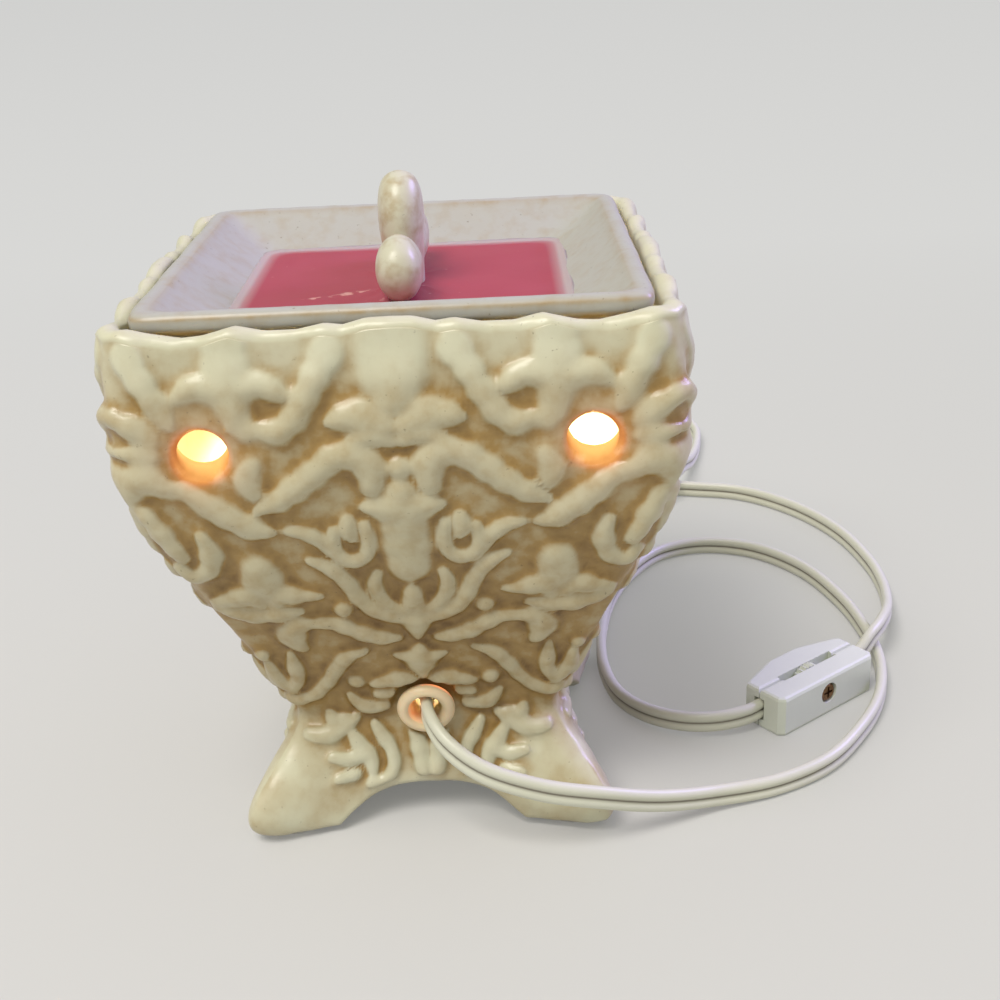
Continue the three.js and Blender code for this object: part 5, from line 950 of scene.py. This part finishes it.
def wax_mesh():
    """Set wax: rounded square rings from under it, up the bowl and in over its top, which climbs the bowl's side
    and the handle. The attributes are its thin edge, and a crust by the handle and along a line of dried drips."""
    start = [(half, WAX_UNDERSIDE) for half in (8, 22, 30.4)]
    start += bowl_side(np.linspace(0.97, 0.54, 10), BOWL_HALF + WAX_OVERLAP).tolist()
    profile = np.array(start + WAX_EDGE + [(half, WAX_TOP) for half in (35, 31, 26, 21, 16, 11, 6, 2)])
    grid = square_rings(profile, np.interp(profile[:, 0], [0, 25, 39], [2.2, 12, 19.5]))
    x, y = grid[..., 0], grid[..., 1]
    stem = np.hypot(np.maximum(np.abs(x) - HANDLE_FOOT_X, 0), np.maximum(np.abs(y) - HANDLE_FOOT_Y, 0))
    climb = 0.5 * np.exp(-stem / 0.9) + 0.08 * np.sin(x * 0.19 + 1) * np.sin(y * 0.23)
    grid[..., 2] += climb * (np.arange(len(profile)) > len(start))[:, None]
    edge = np.clip(np.exp((profile[:, :1] - WAX_HALF) / 2.2), 0, 1) * 0.8 + 0 * x
    _, drips = to_line(x, y, np.array(WAX_DRIPS))
    crust = 0.36 * bell(drips[..., 0], 1.3) + 0.12 * np.exp(-stem / 0.7)
    return capped(grid), {"edge": with_ends(edge), "crust": with_ends(crust)}


# Lead, ring, plug and bulb
def cord_section():
    """Section of flat two-core lead: two touching rounds, 3 mm across and 6 mm high together, with a groove each
    side; and how deep each point lies in the groove."""
    sweep = np.radians(np.linspace(90, -48, 9))
    top = CORE_RADIUS * np.stack([np.cos(sweep), 1 + np.sin(sweep)], 1)
    right = np.concatenate([top, [[0.82, 0]], top[::-1] * [1, -1]])
    ring = np.concatenate([right, right[-2:0:-1] * [-1, 1]])[::-1]
    return ring, bell(ring[:, 1], 0.35)


def coil_route():
    """Centreline of the put-away turns: in over one layer, up in the half turn where it reverses, out above."""
    turn = np.linspace(0, COIL_TURNS, 48 * COIL_TURNS + 1)
    inwards = np.minimum(np.minimum(turn, COIL_TURNS - turn), COIL_TURNS / 2 - 0.25)
    radius = COIL_RADIUS - COIL_PITCH * inwards
    angle = math.pi / 2 + turn * TAU
    z = COIL_HEIGHT + COIL_LAYER * ease((turn - COIL_TURNS / 2 + 0.25) / 0.5)
    turns = np.stack([COIL_X + radius * np.cos(angle), COIL_Y + radius * np.sin(angle), z], 1)
    lead = np.array([[COIL_LEAD, 0, 0]])
    return np.concatenate([turns[:1] + lead, turns, turns[-1:] - lead])


def lay_cord(name, curve):
    """The lead's section carried along a curve: the piece and its path."""
    path = even(curve, sizes().cord_step)
    section, groove = cord_section()
    lines = with_ends(np.tile(groove, len(path)))
    piece = dress(name, capped(carried(path, section)), "soft_pvc_white", "warmer", groove=lines)
    return piece, path


def gland_mesh():
    """The moulded ring where the lead leaves: a closed profile of (radius, depth) turned about the lead's line, a
    doughnut outside the wall, a neck in its hole and a flange inside; and a painted glow at its edge and bore,
    standing in for the lamp's light."""
    profile = np.concatenate([RING_NECK, spline(RING_DOUGHNUT, 4)])
    grid = turned(profile, 72)
    angle = np.degrees(np.arctan2(grid[..., 1], grid[..., 0]))
    radius, depth = profile[:, :1], profile[:, 1:2]
    # painted glow: emission stands in for the lamp's light on one side of the doughnut's edge, towards the wall,
    # and in the bore
    glow = 1.5 * bell(angle - 55, 30) * ease((radius - 6.3) / 0.8) * ease((35.9 - depth) / 1.2)
    glow += 0.45 * bell(np.abs(angle) - 160, 45) * ease((4.5 - radius) / 0.4) * (depth > 33)
    # the doughnut leans out at its top, off the wall
    grid[..., 2] += 0.15 * (grid[..., 1] + GLAND_REACH) * ease((depth - WALL_FACE) / 0.2)
    grid = np.stack([grid[..., 0], -grid[..., 2], GLAND_HEIGHT + grid[..., 1]], -1)
    return (grid, grid_quads(*grid.shape[:2], close_rows=True), NO_FANS), glow


def bulb_mesh():
    """The blown bulb: a pear profile turned about Z, down outside from its crown and up inside, 0.8 mm thick."""
    thick = 0.8
    pear = spline(BULB_PEAR, 5)
    radius, z = pear[::-1].T
    inner = np.stack([np.maximum(radius - thick, 0.1), z - thick * ease((z - 90) / 7)], 1)
    return capped(turned(np.concatenate([pear, inner]), 64)[:, ::-1])


def plug_mesh():
    """The moulded plug: rounded oblong sections along its length, neck to face, with half width and half height
    splined and four shallow rings of ribs on the neck."""
    along, wide, high = even(spline(PLUG_LENGTH, 8), 0.4).T[:, :, None]
    rib = 0.28 * np.cos(along / 2.2 * TAU) * ease(along / 1.5) * ease((10 - along) / 1.5)
    power = 2 / np.interp(along, [0, 8, 16], [2.4, 2.6, 4.5])
    across, up = (np.sign(w) * np.abs(w) ** power for w in (np.cos(circle(64)), np.sin(circle(64))))
    grid = np.stack([PLUG_X - along + 0 * up, PLUG_Y - (wide + rib) * across, PLUG_HEIGHT + (high + rib) * up], -1)
    return capped(grid[:, ::-1])


def relief_sleeve():
    """Strain relief on the plug's lead: an oval sleeve along it, thin where it starts, with grooves across."""
    path = even(spline(TO_PLUG)[12:], 0.4)
    path = path[(path[:, 0] < -23.5) & (path[:, 0] > PLUG_X - 1)]
    f = np.linspace(0, 1, len(path))[:, None]
    groove = 0.22 * np.cos(f * 6.5 * TAU) * ease(f / 0.1)
    return capped(carried(path, ellipse(1.9 + 1.5 * f + groove, 3.4 + 1.2 * f + groove, 32)))


def single_lead(points):
    """A round single lead carried along its spline."""
    section = ellipse(SINGLE_RADIUS, SINGLE_RADIUS, 20)
    return capped(carried(even(spline(points), 0.6), section, (1.0, 0, 0.02)))


def stand(name, data, axes, spot):
    """Puts a camera or lamp with its own axes, given as rows, at a spot in metres."""
    thing = bpy.data.objects.new(name, data)
    bpy.context.scene.collection.objects.link(thing)
    place = np.eye(4)
    place[:3, :3], place[:3, 3] = np.transpose(axes), spot
    thing.matrix_world = Matrix(place.tolist())
    return thing


class OBJECT_OT_warmer_camera(bpy.types.Operator):
    """Sets the camera of the photograph: 23 degrees down, a little to the right, slightly rolled"""

    bl_idname = "object.warmer_camera"
    bl_label = "Camera"

    def execute(self, context):
        def turn(degrees, rows):
            c, s = math.cos(math.radians(degrees)), math.sin(math.radians(degrees))
            return np.array([[c, -s], [s, c]]) @ rows

        swing = np.eye(3)
        swing[:2] = turn(CAMERA_YAW, swing[:2])
        axes = np.array([[1, 0, 0], [0, 0, -1.0], [0, 1, 0]]) @ swing
        axes[1:] = turn(CAMERA_PITCH, axes[1:])
        axes[:2] = turn(CAMERA_ROLL, axes[:2])
        data = bpy.data.cameras.new("camera")
        data.sensor_width, data.lens, data.clip_start = CAMERA_SENSOR, CAMERA_LENS, 0.01
        context.scene.camera = stand("camera", data, axes * [[1], [-1], [-1]], CAMERA_PLACE)
        return {"FINISHED"}


class OBJECT_OT_warmer_leads(bpy.types.Operator):
    """Lays the flat two-core lead, from the gland to the switch and on through its coil, and models its plug"""

    bl_idname = "object.warmer_leads"
    bl_label = "Flat lead"

    def execute(self, context):
        piece, path = lay_cord("lead_to_switch", spline(TO_SWITCH))
        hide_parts("cord_to_switch")
        curve = np.concatenate([spline(TO_COIL), coil_route(), spline(TO_PLUG)])
        piece, path = lay_cord("lead_to_plug", curve)
        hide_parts("cord_to_coil", "cord_coil", "cord_to_plug")
        plug = [dress(name, made, "moulded_pvc", "warmer")
                for name, made in (("plug_shell", plug_mesh()), ("plug_strain_relief", relief_sleeve()))]
        for part in plug:
            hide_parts("plug_body")
        return {"FINISHED"}


class OBJECT_OT_warmer_body(bpy.types.Operator):
    """Models the glazed body with its damask relief, scalloped rim, light holes, arches and dish ledges"""

    bl_idname = "object.warmer_body"
    bl_label = "Ceramic body"

    def execute(self, context):
        made, paints = body_mesh()
        shell = dress("ceramic_body", made, "glazed_earthenware_washed", "warmer", **paints)
        ledges = dress("dish_ledges", ledge_mesh(), "glazed_earthenware_washed", "warmer")
        for piece in (shell, ledges):
            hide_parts("body_shell")
        return {"FINISHED"}


class OBJECT_OT_warmer_dish(bpy.types.Operator):
    """Models the lift-off dish, its cast handle and the set wax in it"""

    bl_idname = "object.warmer_dish"
    bl_label = "Dish and wax"

    def execute(self, context):
        made, darkening = dish_mesh()
        bowl = dress("dish_bowl", made, "glazed_earthenware_dish", "dish", wash=darkening)
        handle = dress("dish_handle", handle_mesh(), "glazed_earthenware_worn", "dish")
        # the lobes are cast as one, with a fillet of glaze where they meet
        union = handle.modifiers.new("cast", "REMESH")
        union.mode, union.voxel_size, union.use_smooth_shade = "VOXEL", 0.55 * MM, True
        fillet = handle.modifiers.new("fillet", "SMOOTH")
        fillet.factor, fillet.iterations = 0.5, 6
        for piece in (bowl, handle):
            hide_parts("wax_dish")
        made, marks = wax_mesh()
        wax = dress("wax_cake", made, "set_wax", "dish", **marks)
        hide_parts("wax_pool")
        return {"FINISHED"}


class OBJECT_OT_warmer_gland(bpy.types.Operator):
    """Models the moulded ring where the lead leaves the body"""

    bl_idname = "object.warmer_gland"
    bl_label = "Lead ring"

    def execute(self, context):
        made, glow = gland_mesh()
        piece = dress("lead_ring", made, "moulded_nylon", "warmer", glow=glow)
        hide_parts("cord_gland")
        return {"FINISHED"}


class OBJECT_OT_warmer_bulb(bpy.types.Operator):
    """Models the lit bulb's glass and finishes its cap, mount and filament"""

    bl_idname = "object.warmer_bulb"
    bl_label = "Bulb"

    def execute(self, context):
        piece = dress("bulb_envelope", bulb_mesh(), "soda_glass_lit", "bulb")
        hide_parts("bulb_glass")
        finish_nodes("rolled_brass", "bulb_cap", "bulb_tip")
        finish_nodes("pressed_black_glass", "bulb_cap_insulator")
        finish_nodes("soda_glass_lit", "bulb_mount")
        finish_nodes("tungsten_hot", "bulb_filament")
        return {"FINISHED"}


class OBJECT_OT_warmer_wiring(bpy.types.Operator):
    """Models the single leads and finishes lampholder, switch and plug fittings"""

    bl_idname = "object.warmer_wiring"
    bl_label = "Wiring and fittings"

    def execute(self, context):
        piece = dress("single_lead_line", single_lead(LINE_LEAD), "soft_pvc_black", "warmer")
        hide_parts("lead_line")
        piece = dress("single_lead_neutral", single_lead(NEUTRAL_LEAD), "soft_pvc_white", "warmer")
        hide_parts("lead_neutral")
        finish_nodes("moulded_phenolic", "lampholder_body", "lampholder_cap")
        finish_nodes("zinc_plated_steel", "lampholder_stem", "stem_nut", "stem_washer", "switch_nut")
        finish_nodes("pad_rubber", *(f"foot_pad_{a}_{b}" for a in ("front", "rear") for b in ("left", "right")))
        finish_nodes("rolled_brass", "socket_screw_shell", "centre_contact", "terminal_screw_line",
                     "terminal_screw_neutral", "switch_contact_in", "switch_contact_out", "plug_blade_line",
                     "plug_blade_neutral")
        finish_nodes("pressed_fibre", "stem_gasket")
        finish_nodes("soft_pvc_black", "coil_tie")
        finish_nodes("tarnished_brass", "switch_screw")
        finish_nodes("moulded_urea", "switch_case_front", "switch_case_rear", "switch_wheel")
        return {"FINISHED"}


class OBJECT_OT_warmer_stage(bpy.types.Operator):
    """Lays a pale floor and sets soft studio light"""

    bl_idname = "object.warmer_stage"
    bl_label = "Stage"

    def execute(self, context):
        scene = context.scene
        scene.view_settings.view_transform = "Standard"
        # matt paper: what the camera sees of it turns to an even pale grey away from the lamps, behind the warmer
        paper, tree = empty_material("matt_paper_floor")
        shader = add(tree, "ShaderNodeBsdfPrincipled", {"Base Color": paint("#cfcfce"), "Roughness": 0.9})[0]
        pale = add(tree, "ShaderNodeEmission", {"Color": paint("#dbdbd9")})[0]
        place = add(tree, "ShaderNodeSeparateXYZ", {0: add(tree, "ShaderNodeTexCoord")["Object"]})
        far = add(tree, "ShaderNodeMapRange", {0: place[1], 1: 0.05, 2: 0.6, 3: 0.2, 4: 0.8})[0]
        ray = add(tree, "ShaderNodeLightPath")
        share = ray["Is Camera Ray"]
        for other, how in ((ray["Is Glossy Ray"], "MAXIMUM"), (ray["Is Transmission Ray"], "MAXIMUM"),
                           (far, "MULTIPLY")):
            share = add(tree, "ShaderNodeMath", {0: share, 1: other}, operation=how)[0]
        surface = add(tree, "ShaderNodeMixShader", {0: share, 1: shader, 2: pale})[0]
        add(tree, "ShaderNodeOutputMaterial", {"Surface": surface})
        mesh = bpy.data.meshes.new("floor")
        mesh.from_pydata(FLOOR_CORNERS, [], [(0, 1, 2, 3)])
        mesh.materials.append(paper)
        floor = bpy.data.objects.new("floor", mesh)
        scene.collection.objects.link(floor)
        world = bpy.data.worlds.new("studio")
        world.use_nodes = True
        light = world.node_tree.nodes["Background"].inputs
        light[0].default_value, light[1].default_value = WORLD_TINT, WORLD_STRENGTH
        scene.world = world
        for name, spot, width, power, tint in LAMPS:
            data = bpy.data.lights.new(name, "AREA")
            data.size, data.energy, data.color = width, power, srgb(tint)
            away = unit(np.subtract(spot, LAMP_AIM))
            right = unit(np.cross([0, 0, 1.0], away))
            lamp = stand(name, data, [right, np.cross(away, right), away], spot)
        # the coloured side light, the last, is flagged off the floor, which stays neutral
        flag = bpy.data.collections.new("flagged_floor")
        flag.objects.link(floor)
        flag.collection_objects[0].light_linking.link_state = "EXCLUDE"
        lamp.light_linking.receiver_collection = flag
        data = bpy.data.lights.new("bulb_light", "SPOT")
        data.energy, data.color, data.shadow_soft_size = sizes().lamp_power, srgb("#ffe9cc"), 0.006
        data.spot_size, data.spot_blend = math.radians(165), 0.3
        stand("bulb_light", data, np.eye(3), BULB_PLACE)
        return {"FINISHED"}


PIECES = [
    OBJECT_OT_warmer_camera, OBJECT_OT_warmer_leads, OBJECT_OT_warmer_body, OBJECT_OT_warmer_dish,
    OBJECT_OT_warmer_gland, OBJECT_OT_warmer_bulb, OBJECT_OT_warmer_wiring, OBJECT_OT_warmer_stage,
]


class VIEW3D_PT_warmer(bpy.types.Panel):
    """Lists the warmer's pieces and their sizes and colours"""

    bl_idname = "VIEW3D_PT_warmer"
    bl_label = "Wax warmer"
    bl_space_type = "VIEW_3D"
    bl_region_type = "UI"
    bl_category = "Warmer"

    def draw(self, context):
        for group in (context.scene.warmer_sizes, context.scene.warmer_colours):
            for key in group.__annotations__:
                self.layout.prop(group, key)
        for piece in PIECES:
            self.layout.operator(piece.bl_idname)


CLASSES = [WarmerSizes, WarmerColours, *PIECES, VIEW3D_PT_warmer]


def register():
    for item in CLASSES:
        bpy.utils.register_class(item)
    bpy.types.Scene.warmer_sizes = bpy.props.PointerProperty(type=WarmerSizes)
    bpy.types.Scene.warmer_colours = bpy.props.PointerProperty(type=WarmerColours)


def unregister():
    del bpy.types.Scene.warmer_colours
    del bpy.types.Scene.warmer_sizes
    for item in reversed(CLASSES):
        bpy.utils.unregister_class(item)


def main():
    register()
    for piece in PIECES:
        group, name = piece.bl_idname.split(".")
        getattr(getattr(bpy.ops, group), name)()


if __name__ == "__main__":
    main()
